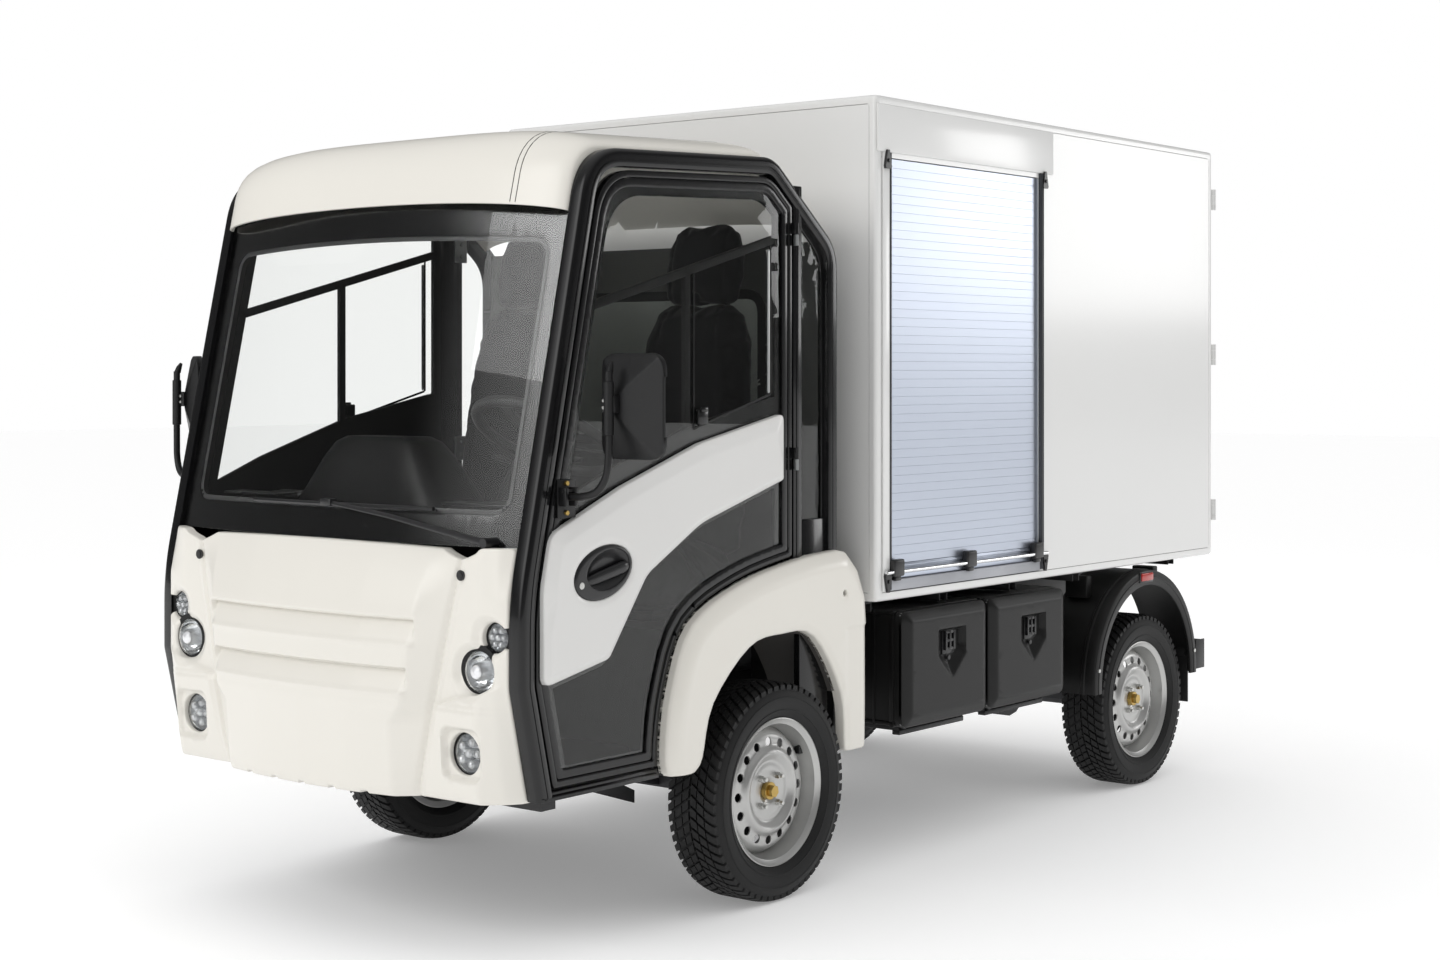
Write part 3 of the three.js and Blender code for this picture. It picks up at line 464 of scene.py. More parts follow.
def sheet(shape, inside, window, step, surface, inward, thick, edge=0.003, rounds=3, hidden_back=False,
          full_grid=False):
    """A moulded sheet: its face is surface(a, b) where inside(a, b) < 0, its rim is rounded, and it has a
    back a thickness further along inward. A grid covers the face, and its border is drawn to the outline.
    Where the sheet is flat, and on a back that doesn't show, cells are joined inside the border, apart from
    a bowed pane, which keeps its full grid so that what is seen through it stays straight."""
    (a0, a1), (b0, b1) = window
    a, b = np.meshgrid(np.arange(a0, a1 + step, step), np.arange(b0, b1 + step, step), indexing="ij")
    trim = lambda p, q: inside(p, q) + edge
    d = trim(a, b)
    middle = (d[:-1, :-1] + d[1:, :-1] + d[:-1, 1:] + d[1:, 1:]) / 4 < 0
    cells = np.argwhere(middle)
    rows, columns = a.shape
    number = lambda i, j: i * columns + j
    faces = [(number(i, j), number(i + 1, j), number(i + 1, j + 1), number(i, j + 1)) for i, j in cells]
    seen = {}
    for face in faces:
        for k in range(4):
            e = (face[k], face[(k + 1) % 4])
            if (e[1], e[0]) in seen:
                del seen[(e[1], e[0])]
            else:
                seen[e] = True
    border = np.array(sorted({v for e in seen for v in e}))
    p, q = a.ravel().copy(), b.ravel().copy()
    tiny = step * 0.05

    def slope(x, y):
        gx = (inside(x + tiny, y) - inside(x - tiny, y)) / (2 * tiny)
        gy = (inside(x, y + tiny) - inside(x, y - tiny)) / (2 * tiny)
        size = np.maximum(np.hypot(gx, gy), 1e-6)
        return gx / size, gy / size

    for _ in range(4):
        gx, gy = slope(p[border], q[border])
        off = trim(p[border], q[border])
        p[border] -= off * gx
        q[border] -= off * gy
    gx, gy = slope(p[border], q[border])
    used = np.array(sorted({v for face in faces for v in face}))
    inward = np.array(inward, float)
    base = np.zeros((a.size, 3))
    base[used] = surface(p[used], q[used])
    verts = {int(v): shape.bm.verts.new(base[v]) for v in used}
    back = {int(v): shape.bm.verts.new(base[v] + inward * thick) for v in used}
    levels = [{int(v): verts[int(v)] for v in border}]
    for k in range(1, rounds + 1):
        t = math.pi / 2 * k / rounds
        out = edge * math.sin(t)
        ring = surface(p[border] + gx * out, q[border] + gy * out) + inward * edge * (1 - math.cos(t))
        levels.append({int(v): shape.bm.verts.new(c) for v, c in zip(border, ring)})
    last = surface(p[border] + gx * edge, q[border] + gy * edge) + inward * thick
    levels.append({int(v): shape.bm.verts.new(c) for v, c in zip(border, last)})
    levels.append({int(v): back[int(v)] for v in border})
    for face in faces:
        shape.bm.faces.new([verts[v] for v in face])
        shape.bm.faces.new([back[v] for v in reversed(face)])
    for v0, v1 in seen:
        for one, two in zip(levels, levels[1:]):
            shape.bm.faces.new([one[v1], one[v0], two[v0], two[v1]])
    if full_grid:
        return
    shape.bm.normal_update()
    on_border = set(border.tolist())
    for layer, bend in ((verts, 0.03), (back, 4.0 if hidden_back else 0.03)):
        inner = [vert for v, vert in layer.items() if v not in on_border]
        known = set(inner)
        edges = [e for e in shape.bm.edges if e.verts[0] in known and e.verts[1] in known]
        bmesh.ops.dissolve_limit(shape.bm, angle_limit=math.radians(bend), verts=inner, edges=edges)


RIM_HOLES = 16
hole_ring, hole_radius = 0.1285, 0.0115
rim_face = 0.066                     # the lip's distance outwards from the middle of the tyre
disc_heights = [(0.0, -0.036), (0.028, -0.036), (0.034, -0.03), (0.062, -0.028), (0.078, -0.031), (0.09, -0.022),
                (0.1, -0.015), (0.109, -0.019), (0.118, -0.029), (0.139, -0.031), (0.149, -0.035), (0.158, -0.046),
                (0.166, -0.062)]
barrel_profile = [
    (0.19, 0.0665), (0.1925, 0.0655), (0.1925, 0.063), (0.1895, 0.06), (0.1805, 0.056), (0.1795, 0.04), (0.17, 0.01),
    (0.1695, -0.03), (0.1795, -0.056), (0.1895, -0.06), (0.1925, -0.063), (0.1925, -0.0655), (0.19, -0.0665),
    (0.174, -0.062), (0.165, -0.03), (0.1655, 0.005), (0.168, 0.012), (0.1745, 0.038), (0.1762, 0.056),
                  (0.1845, 0.061)]
drum_profile = [(0.04, -0.052), (0.139, -0.052), (0.142, -0.055), (0.142, -0.094), (0.138, -0.097), (0.04, -0.097)]
silver_spray = finish("silver_spray", (0.56, 0.56, 0.55), 0.34, metallic=0.75, grain=1400, relief=0.08, mottle=0.06)
brass = finish("brass_nut", (0.55, 0.38, 0.12), 0.3, metallic=0.95, grain=700, relief=0.05)
zinc = finish("zinc_studs", (0.62, 0.62, 0.6), 0.28, metallic=0.9, grain=700, relief=0.05)


def disc_face(y, z):
    r = np.hypot(y, z)
    heights = np.interp(r, *zip(*disc_heights))
    smooth = (np.interp(r - 0.002, *zip(*disc_heights)) + heights + np.interp(r + 0.002, *zip(*disc_heights))) / 3
    return np.stack([rim_face + smooth, y, z], axis=-1)


vents = [disc(hole_ring * math.cos(math.tau * k / RIM_HOLES), hole_ring * math.sin(math.tau * k / RIM_HOLES),
              hole_radius)
         for k in range(RIM_HOLES)]
for place, (centre, sign, body) in WHEELS.items():
    rim = Shape()
    sheet(rim, without(disc(0, 0, 0.1665), disc(0, 0, 0.0235), *vents), ((-0.168, 0.168), (-0.168, 0.168)), 0.004,
          disc_face, (-1, 0, 0), 0.004, edge=0.0012, rounds=2, hidden_back=True)
    rim.lathe(barrel_profile, (0, 0, 0), 96)
    hub, studs, drum = Shape(), Shape(), Shape()
    drum.lathe(drum_profile, (0, 0, 0), 64)
    hub.rod((rim_face - 0.05, 0, 0), (rim_face - 0.022, 0, 0), 0.023, sides=32)
    hub.rod((rim_face - 0.022, 0, 0), (rim_face - 0.008, 0, 0), 0.0165, sides=6)
    for k in range(4):
        angle = math.tau * (k + 0.5) / 4
        y, z = 0.05 * math.cos(angle), 0.05 * math.sin(angle)
        studs.rod((rim_face - 0.034, y, z), (rim_face - 0.016, y, z), 0.0095, sides=6)
        studs.rod((rim_face - 0.018, y, z), (rim_face - 0.008, y, z), 0.006, sides=16)
    for shape, name, material, slot, nodes in (
            (rim, "rim", silver_spray, "silver_steel", [f"rim_{place}"]),
            (drum, "brake_drum", cast_metal, "cast_steel", []),
            (hub, "centre_nut", brass, "silver_steel", []), (studs, "wheel_studs", zinc, "silver_steel", [])):
        if sign < 0:
            bmesh.ops.scale(shape.bm, verts=shape.bm.verts, vec=(-1, 1, 1))
        bmesh.ops.translate(shape.bm, verts=shape.bm.verts, vec=centre)
        shape.piece(f"{name}_{place}_pressed", material, body, slot, *nodes, centre=True)


# ---- Side hoops: one aluminium extrusion on each side, bent round the cab from the sill over the roof to
# ---- the rear leg, with the door post and quarter panel screwed in. Powder-coated black and polished.

hoop_in, hoop_out = 0.62, 0.66
hoop_depth = 0.045
sill_bottom = 0.385
pillar_slope = 0.2202
hoop_front = -0.936
b_post = (0.104, 0.142)
CAB_SIDE = [(hoop_front + 0.061, sill_bottom, 0), (0.306, sill_bottom, 0), (0.306, 1.718, 0.13), (0.022, 1.944, 0.11),
            (hoop_front + pillar_slope * 1.06, 1.915, 0.15), (hoop_front, 0.855, 0.8), (hoop_front, 0.65, 0.06)]
FENDER_EDGE = [(-0.436, 0.386), (-0.447, 0.45), (-0.424, 0.593), (-0.344, 0.751), (-0.143, 0.838), (0.109, 0.885),
               (0.276, 0.898)]


def rounded(corners, closed=True, steps=9):
    """An outline through corners (a, b, radius), each rounded by a curve."""
    points = []
    count = len(corners)
    for i, (a, b, radius) in enumerate(corners):
        here = Vector((a, b))
        to_before = Vector(corners[i - 1][:2]) - here
        to_after = Vector(corners[(i + 1) % count][:2]) - here
        if radius == 0 or (not closed and i in (0, count - 1)):
            points.append((a, b))
            continue
        turn = math.pi - to_before.angle(to_after)
        reach = min(radius * math.tan(turn / 2), 0.49 * to_before.length, 0.49 * to_after.length)
        start, end = here + to_before.normalized() * reach, here + to_after.normalized() * reach
        for k in range(steps + 1):
            t = k / steps
            points.append(tuple(start * (1 - t) ** 2 + here * 2 * t * (1 - t) + end * t * t))
    return points


def inset(corners, distances):
    """The corners of an anticlockwise outline after edge i moves inwards by distances[i]."""
    count = len(corners)
    edges = []
    for i, corner in enumerate(corners):
        along = (Vector(corners[(i + 1) % count][:2]) - Vector(corner[:2])).normalized()
        edges.append((Vector(corner[:2]) + Vector((-along.y, along.x)) * distances[i], along))
    moved = []
    for i, corner in enumerate(corners):
        (p, u), (q, v) = edges[i - 1], edges[i]
        reach = ((q - p).x * v.y - (q - p).y * v.x) / (u.x * v.y - u.y * v.x)
        moved.append((*(p + u * reach), corner[2]))
    return moved


def beside(points, distance, closed=False):
    """A line moved sideways, to the left of its direction."""
    moved = []
    for i, point in enumerate(points):
        before = points[i - 1] if i or closed else point
        after = points[(i + 1) % len(points)] if i < len(points) - 1 or closed else point
        along = (Vector(after) - Vector(before)).normalized()
        moved.append((point[0] - along.y * distance, point[1] + along.x * distance))
    return moved


def spline(points, steps=4):
    """A smooth curve through the points."""
    curve = []
    p = [Vector(q) for q in points]
    p = [p[0] * 2 - p[1], *p, p[-1] * 2 - p[-2]]
    for i in range(1, len(p) - 2):
        for k in range(steps):
            t = k / steps
            curve.append(tuple(0.5 * (2 * p[i] + (p[i + 1] - p[i - 1]) * t
                                      + (2 * p[i - 1] - 5 * p[i] + 4 * p[i + 1] - p[i + 2]) * t * t
                                      + (3 * p[i] - p[i - 1] - 3 * p[i + 1] + p[i + 2]) * t ** 3)))
    return curve + [tuple(p[-2])]


def moulding(shape, line, section, closed=False):
    """A section of (x, depth) drawn along a line in (y, z); depth counts to the left of the line."""
    rings = [[] for _ in line]
    for x, depth in section:
        for ring, (y, z) in zip(rings, beside(line, depth, closed)):
            ring.append((x, y, z))
    shape.tube(rings, close=closed, caps=not closed)


def hoop_lean(z):
    """The front of the hoop at a height."""
    return np.where(z < 0.65, hoop_front + 0.061 * (0.65 - z) / 0.265,
                    hoop_front + np.maximum(0, z - 0.855) * pillar_slope)


gloss_coat = finish("gloss_coat", (0.0055, 0.0055, 0.006), 0.22, grain=1200, relief=0.02, mottle=0.02, coat=0.35,
                    gloss=0.3)
fender_line = spline(FENDER_EDGE)
hoop_section = [
    (hoop_in, 0.0), (0.646, 0.0), (0.652, 0.0015), (0.657, 0.005), (0.6595, 0.01), (hoop_out, 0.016),
                (hoop_out, 0.0262),
    (0.6572, 0.0268), (0.6572, 0.0282), (hoop_out, 0.0288), (hoop_out, 0.04), (0.6585, 0.0435), (0.655, hoop_depth),
    (hoop_in, hoop_depth)]
over_the_cab = rounded([(0.306, 0.88, 0), *CAB_SIDE[2:], (hoop_front + 0.061, sill_bottom, 0)], closed=False,
                       steps=14)
for side, mirror in (("left", False), ("right", True)):
    hoop = Shape()
    moulding(hoop, over_the_cab, hoop_section)
    hoop.block((hoop_in, hoop_front + 0.068, sill_bottom), (hoop_out, -0.452, sill_bottom + 0.011), 0.001)
    hoop.block((hoop_in, hoop_front + 0.068, sill_bottom + 0.0105), (hoop_out - 0.006, -0.452, sill_bottom + 0.021),
               0.001)
    hoop.block((hoop_in + 0.002, b_post[0], 0.86), (hoop_out - 0.003, b_post[1], 1.875), 0.003)
    hoop.block((hoop_in + 0.002, b_post[0] + 0.012, 0.86), (hoop_out - 0.0005, b_post[1] - 0.012, 1.868), 0.002)
    hoop.block((hoop_in + 0.01, b_post[1] - 0.002, 0.36), (hoop_out - 0.01, 0.268, 0.985), 0.003)
    strip = rounded([(x, z, 0) for x, z in [*fender_line, *reversed(beside(fender_line, -0.045))]])
    sheet(hoop, polygon(strip), ((-0.5, 0.32), (0.34, 0.95)), 0.006,
          lambda y, z: np.stack([np.full_like(y, hoop_out - 0.002), y, z], -1), (-1, 0, 0), 0.03, edge=0.002)
    hoop.piece(f"side_hoop_{side}_extrusion", gloss_coat, "truck_body", "gloss_black", f"side_hoop_{side}",
               mirror=mirror)


# ---- Quarter windows: a narrow fixed pane behind each door post, bonded to the hoop with a black border
# ---- printed on its edge. Toughened glass, faintly grey.

def clear_glass(name, tint, roughness=0.0):
    """Glass: clear, with the tint on the shader and a faint waviness in its surface."""
    material = bpy.data.materials.new(name)
    material.use_nodes = True
    nodes, links = material.node_tree.nodes, material.node_tree.links
    shader = nodes["Principled BSDF"]
    shader.inputs["Base Color"].default_value = (*tint, 1)
    shader.inputs["Roughness"].default_value = roughness
    shader.inputs["Transmission Weight"].default_value = 1.0
    shader.inputs["IOR"].default_value = 1.33
    place = nodes.new("ShaderNodeTexCoord")
    wave = nodes.new("ShaderNodeTexNoise")
    wave.inputs["Scale"].default_value = 3.0
    links.new(place.outputs["Object"], wave.inputs["Vector"])
    bump = nodes.new("ShaderNodeBump")
    bump.inputs["Strength"].default_value = 0.03
    bump.inputs["Distance"].default_value = 0.001
    links.new(wave.outputs["Fac"], bump.inputs["Height"])
    links.new(bump.outputs["Normal"], shader.inputs["Normal"])
    return material


side_glass = clear_glass("side_glass", (0.945, 0.955, 0.945))
# The back window's glass is tinted far darker than the side glass: painted shade, standing in for the shadow on the
# box's front wall seen through it.
rear_glass_painted_shade = clear_glass("rear_glass_painted_shade", (0.56, 0.59, 0.56))
frit = finish("printed_border", (0.004, 0.004, 0.0042), 0.25, grain=900, relief=0.02, coat=0.3, gloss=0.35)
inner_edge = inset(CAB_SIDE, [0.02, hoop_depth, hoop_depth, hoop_depth, hoop_depth, hoop_depth, hoop_depth])
cab_inside = polygon(rounded(inner_edge))
quarter = both(cab_inside, lambda y, z: np.maximum(b_post[1] - y, 0.965 - z))
plain_x = lambda x: (lambda y, z: np.stack([np.full_like(y, x), y, z], -1))
for side, mirror in (("left", False), ("right", True)):
    pane, border = Shape(), Shape()
    grow = 0.012
    sheet(pane, lambda y, z: quarter(y, z) - grow + 0.02, ((0.12, 0.3), (0.93, 1.9)), 0.008, plain_x(0.64),
          (-1, 0, 0), 0.004,
          edge=0.001)
    sheet(border, lambda y, z: np.maximum(quarter(y, z) - grow, -(quarter(y, z) + 0.014)), ((0.12, 0.3), (0.93, 1.9)),
          0.005,
          plain_x(0.643), (-1, 0, 0), 0.002, edge=0.0008)
    pane.piece(f"quarter_window_{side}", side_glass, "truck_body", "tinted_glass", mirror=mirror)
    border.piece(f"quarter_window_border_{side}", frit, "truck_body", "gloss_black", mirror=mirror)


# ---- Cab shell behind the panels: floor, riser and back wall pressed in black ABS-faced board, bonded and
# ---- riveted to the hoops. The back wall has a window with a rubber edge.

lining = finish("cab_lining", (0.0095, 0.0095, 0.0095), 0.5, grain=900, relief=0.08, gloss=0.3)
grey_lining = finish("back_wall_lining", (0.085, 0.088, 0.083), 0.7, grain=700, relief=0.08)
paint(lining, "cab_floor")
paint(grey_lining, "cab_back_wall")
back_window = rounded([(-0.43, 1.18, 0.06), (0.43, 1.18, 0.06), (0.43, 1.6, 0.06), (-0.43, 1.6, 0.06)])
rubber_edge, back_pane = Shape(), Shape()
window_ring = lambda d0, d1: (lambda x, z: np.maximum(polygon(back_window)(x, z) - d1,
                                                      d0 - polygon(back_window)(x, z)))
wall_y = 0.262
plain_y = lambda y: (lambda x, z: np.stack([x, np.full_like(x, y), z], -1))
sheet(rubber_edge, window_ring(-0.016, 0.012), ((-0.46, 0.46), (1.15, 1.63)), 0.007, plain_y(wall_y - 0.004),
      (0, 1, 0), 0.022)
sheet(back_pane, lambda x, z: polygon(back_window)(x, z) + 0.002, ((-0.46, 0.46), (1.15, 1.63)), 0.02,
      plain_y(wall_y + 0.005),
      (0, 1, 0), 0.004, edge=0.001)
rubber_edge.piece("back_window_rubber", lining, "truck_body", "black_plastic")
back_pane.piece("back_window_pane", rear_glass_painted_shade, "truck_body", "tinted_glass")


# ---- Roof cap: one vacuum-formed skin in warm white, its front rolled down into a brow over the
# ---- windscreen, bonded between the hoops with a thin trim line beside each.

moulded_white = finish("shell_white", (0.8, 0.775, 0.715), 0.3, grain=1500, relief=0.03, mottle=0.012, coat=0.25)
roof_half = hoop_in - 0.002
brow_z = 1.762
roof_path = rounded([(float(hoop_lean(brow_z)), brow_z, 0), (hoop_front + pillar_slope * 1.06, 1.915, 0.15),
                     (0.022, 1.944, 0.11), (0.25, 1.762, 0)], closed=False, steps=16)


def even(points, count):
    """The same line with its points evenly spaced."""
    points = np.array(points)
    reach = np.concatenate([[0], np.cumsum(np.hypot(*np.diff(points, axis=0).T))])
    at = np.linspace(0, reach[-1], count)
    return np.stack([np.interp(at, reach, points[:, 0]), np.interp(at, reach, points[:, 1])], -1)


roof_rows = even(roof_path, 72)
roof_length = roof_rows.shape[0] - 1


def roof_skin(u, v, sunk=0.0):
    """u runs from the brow to the back in rows, v across from -1 to 1."""
    x = roof_half * np.sin(math.pi / 2 * v)
    along = lambda row, axis: np.interp(row, np.arange(roof_length + 1), roof_rows[:, axis])
    y, z = along(u, 0), along(u, 1)
    dy, dz = along(u + 1, 0) - along(u - 1, 0), along(u + 1, 1) - along(u - 1, 1)
    size = np.hypot(dy, dz)
    crown_height = 0.062 * np.sqrt(np.maximum(0, 1 - (x / roof_half) ** 4))
    rise = 0.022 * (1 - (x / hoop_in) ** 2) * np.clip(1 - u / 9, 0, 1) ** 2
    swell = crown_height - sunk
    return np.stack([x, y - dz / size * swell, z + dy / size * swell + rise], -1)


roof = Shape()
u, v = np.meshgrid(np.arange(roof_length + 1), np.linspace(-1, 1, 121), indexing="ij")
outside, inside_face = roof_skin(u, v), roof_skin(u, v, 0.006 + 0.014 * np.clip(u / 6, 0, 1))
rows, columns = u.shape
points = [*outside.reshape(-1, 3), *inside_face.reshape(-1, 3)]
number = lambda i, j: i * columns + j
faces = [(number(i, j), number(i, j + 1), number(i + 1, j + 1), number(i + 1, j))
         for i in range(rows - 1) for j in range(columns - 1)]
total = rows * columns
rim_loop = [number(0, j) for j in range(columns)] + [number(i, columns - 1) for i in range(1, rows)] \
    + [number(rows - 1, j) for j in range(columns - 2, -1, -1)] + [number(i, 0) for i in range(rows - 2, 0, -1)]
faces += [tuple(k + total for k in reversed(face)) for face in faces]
faces += [(a, b, b + total, a + total) for a, b in zip(rim_loop, rim_loop[1:] + rim_loop[:1])]
roof.add(points, faces)
roof.piece("roof_cap_skin", moulded_white, "truck_body", "warm_white", "roof_cap", crease=50)
joints = Shape()
for x0 in (0.474, 0.49):
    rings = []
    for row in np.arange(0.4, roof_length - 0.3, 0.5):
        across = [math.asin((x0 + dx) / roof_half) * 2 / math.pi for dx in (-0.0011, 0.0011)]
        rings.append([roof_skin(np.array([row]), np.array([v0]), sunk)[0]
                      for v0, sunk in ((across[0], -0.0003), (across[1], -0.0003), (across[1], 0.003),
                                       (across[0], 0.003))])
    joints.tube(rings, close=False, caps=True)
joints.piece("roof_joint_beads", lining, "truck_body", "black_plastic")


# ---- Windscreen: one bowed sheet of laminated glass, bonded over the front of the hoops. A grey dotted
# ---- border is fired on its edge, black across the header, and a black scuttle closes its foot.

screen_half = 0.617
screen_foot, screen_head = 0.972, 1.75


def screen_face(x, z, depth=0.0):
    bow = 0.055 * (1 - (x / screen_half) ** 2)
    return np.stack([x, hoop_lean(z) + 0.01 - bow + depth, z], -1)


def screen_edge(x, z):
    """The pane's outline; its head runs up behind the roof's brow."""
    top = screen_head + 0.018 + 0.022 * (1 - (x / hoop_in) ** 2) \
        + 0.0133 * np.sqrt(np.maximum(0, 1 - (x / roof_half) ** 4))
    return np.maximum(np.abs(x) - screen_half, np.maximum(screen_foot - z, z - top))


def round_corner(a, b, radius):
    """The distance from an edge whose corner is rounded, where a and b are those from its two sides."""
    return np.hypot(np.maximum(a + radius, 0), np.maximum(b + radius, 0)) \
        + np.minimum(np.maximum(a, b) + radius, 0) - radius


def sight(x, z):
    """The part of the windscreen that isn't covered: its upper corners are rounded."""
    top = 1.695 + 0.022 * (1 - (x / hoop_in) ** 2)
    a, b = np.abs(x) - 0.572, np.maximum(1.045 - z, z - top)
    return round_corner(a, b, 0.045)


screen_window = ((-0.63, 0.63), (0.96, 1.815))
screen_glass = clear_glass("screen_glass", (0.985, 0.99, 0.985))
screen, grey_border, black_border = Shape(), Shape(), Shape()
sheet(screen, screen_edge, screen_window, 0.014, screen_face, (0, 1, 0), 0.006, edge=0.0015, full_grid=True)
back_face = lambda x, z: screen_face(x, z, 0.0065)
sheet(black_border, without(screen_edge, sight), screen_window, 0.007, back_face, (0, 1, 0), 0.004, edge=0.001)
black_border.piece("windscreen_border", frit, "truck_body", "gloss_black", crease=60)
screen.piece("windscreen_pane", screen_glass, "truck_body", "clear_glass", "windscreen", crease=60)
grey_dots = finish("fired_dots", (0.1, 0.1, 0.1), 0.4, grain=700, relief=0.05, mottle=0.2)
sheet(grey_border, both(sight, lambda x, z: -(sight(x, z) + 0.012)), screen_window, 0.009,
      lambda x, z: screen_face(x, z, 0.0105), (0, 1, 0), 0.001, edge=0.0004)
grey_border.piece("windscreen_dots", grey_dots, "truck_body", "gloss_black", crease=60)
inner_frame = Shape()
sheet(inner_frame, without(screen_edge, sight), screen_window, 0.01, lambda x, z: screen_face(x, z, 0.0125),
      (0, 1, 0), 0.022,
      edge=0.003)
inner_frame.piece("windscreen_surround", lining, "truck_body", "gloss_black", "windscreen_frame", crease=60)


# ---- Front panel: one thick vacuum-formed moulding in warm white. A crowned middle with two louvre steps
# ---- stands proud of two wings that carry the lamps; it is bolted to the hoops at its upper corners.

LAMPS = [("main", 0.529, 0.686, 0.052), ("upper", 0.576, 0.767, 0.036), ("fog", 0.493, 0.493, 0.05)]
LOUVRES = [(0.802, 0.37), (0.686, 0.349)]      # height of each step's upper edge and its half width
louvre_fall, louvre_depth = 0.062, 0.019
front_foot, front_top = 0.376, 0.967
kink_z = 0.59


def ramp(x, start, end):
    return np.clip((x - start) / (end - start), 0, 1)


def panel_edge(z):
    """Half width of the crowned middle; it steps in under the louvres."""
    return np.where(z > kink_z, 0.33 + (z - kink_z) * 0.17, 0.297 + 0.033 * ramp(z, kink_z - 0.035, kink_z))


def wing_edge(z):
    return 0.349 + (z - front_foot) * 0.235


def front_bulk(x, z):
    """How far the panel stands forward of the front axle, before the small steps."""
    crown_line = 1.041 - 0.075 * np.maximum(0, kink_z - z) - 0.05 * np.maximum(0, z - kink_z) \
        - 0.05 * np.maximum(0, (z - 0.8) / 0.17) ** 1.6
    edge = -hoop_lean(z) + 0.004
    wing_line = np.where(z > 0.6, 0.962 - 0.02 * np.maximum(0, z - 0.6), 0.966 - 0.1 * np.maximum(0, 0.45 - z))
    nodes = [(0 * z, crown_line), (panel_edge(z) * 0.55, crown_line - 0.007), (panel_edge(z), crown_line - 0.026),
             (wing_edge(z), wing_line - 0.006), (0.545 + 0 * z, wing_line),
             (0.59 + 0 * z, (wing_line + edge) / 2 + 0.002),
             (hoop_in - 0.002 + 0 * z, edge)]
    out = nodes[0][1]
    for (x0, y0), (x1, y1) in zip(nodes, nodes[1:]):
        out = out + (y1 - y0) * ramp(x, x0, x1)
    return out


def front_face(x, z):
    side = np.abs(x)
    forward = sum(front_bulk(np.abs(side + dx), z + dz) for dx in (-0.005, 0, 0.005) for dz in (-0.005, 0.005)) / 6
    for top, half in LOUVRES:
        sunk = ramp(top - z, 0, 0.004) * (1 - ramp(top - z, 0.004, louvre_fall)) * ramp(half - side, 0, 0.005)
        lip = 0.004 * np.exp(-((top - louvre_fall - z) / 0.006) ** 2) * ramp(half - side, 0, 0.005)
        forward = forward - louvre_depth * sunk + lip
    groove = side - wing_edge(z)
    forward = forward + 0.004 * np.exp(-((groove - 0.005) / 0.005) ** 2)
    forward = forward - 0.006 * np.exp(-((groove + 0.008) / 0.005) ** 2)
    crease_z = 0.6 + 0.28 * np.maximum(0, side - 0.4)
    forward = forward + 0.014 * ramp(crease_z - z, -0.004, 0.004) * ramp(side, wing_edge(z), wing_edge(z) + 0.02) \
        * (1 - ramp(side, 0.56, 0.612)) * (1 - ramp(crease_z - z, 0.004, 0.25))
    pocket = round_corner(np.abs(side - 0.493) - 0.062, np.abs(z - 0.493) - 0.064, 0.025)
    forward = forward - 0.017 * ramp(-pocket, 0, 0.009)
    for _, lamp_x, lamp_z, radius in LAMPS[:2]:
        bowl = np.hypot(side - lamp_x + 0.008, z - lamp_z)
        forward = forward - 0.014 * (1 - ramp(bowl, radius - 0.002, radius + 0.018))
    scallop = 0.004 * np.exp(-((z - front_foot) / 0.012) ** 2)
    return np.stack([x, -(forward - scallop), z], -1)


def front_outline(x, z):
    side = np.abs(x)
    notch = 0.024 * np.clip(1 - np.abs(side - 0.478) / 0.062, 0, 1) ** 0.8
    top = front_top + 0.006 * (side < 0.4) * (1 - (side / 0.4) ** 2) - notch + 0.006 * ramp(side, 0.53, 0.55)
    tooth = 0.006 * (np.cos(side * math.tau / 0.105) > 0.8) * (side < 0.28)
    foot = front_foot + 0.004 * (side / 0.6) ** 2 + tooth
    return np.maximum(side - (hoop_in - 0.002), np.maximum(foot - z, z - top))


lamp_bores = [disc(sign * x, z, radius) for _, x, z, radius in LAMPS for sign in (-1, 1)]
front = Shape()
sheet(front, without(front_outline, *lamp_bores), ((-0.632, 0.632), (0.36, 0.99)), 0.0042, front_face, (0, 1, 0),
      0.028,
      edge=0.005, rounds=4, hidden_back=True)
front.piece("front_panel_moulding", moulded_white, "truck_body", "warm_white", "front_panel", crease=60)
bolt_dark = finish("panel_bolts", (0.05, 0.05, 0.05), 0.35, metallic=0.7, grain=900)
bolts = Shape()
for sign in (-1, 1):
    x, z = sign * 0.48, 0.907
    y = float(front_face(np.array([x]), np.array([z]))[0][1])
    bolts.rod((x, y + 0.004, z), (x, y - 0.0035, z), 0.0085, sides=28)
    bolts.rod((x, y + 0.004, z), (x, y - 0.0015, z), 0.0125, sides=28)
bolts.piece("front_panel_bolts", bolt_dark, "truck_body", "black_steel")


# ---- Lamps: on each side a headlamp, a small indicator above it and a fog lamp, each a sealed round unit
# ---- with a clear lens over a faceted chrome bowl, held in a black rubber cup behind the panel.

lens_glass = clear_glass("lens_glass", (0.97, 0.98, 0.98))
chrome = finish("lamp_chrome", (0.78, 0.79, 0.8), 0.1, metallic=1.0, grain=160, relief=0.25, mottle=0.08)
bulb_glow = finish("lamp_core", (0.85, 0.86, 0.88), 0.25, metallic=0.4, grain=300, relief=0.1)


def turned_to_front(shape, profile, x, z, y, sides=48):
    """A closed profile of (radius, distance forward) turned about the lamp's own axis."""
    rings = []
    for k in range(sides):
        angle = math.tau * k / sides
        rings.append([(x + r * math.cos(angle), y - w, z + r * math.sin(angle)) for r, w in profile])
    shape.tube(rings)


def quarter_round(radius, height, steps):
    """A profile from the middle, at a height, round to the radius at none."""
    return [(radius * math.sin(math.pi / 2 * k / steps) + 1e-4, height * math.cos(math.pi / 2 * k / steps))
            for k in range(steps + 1)]


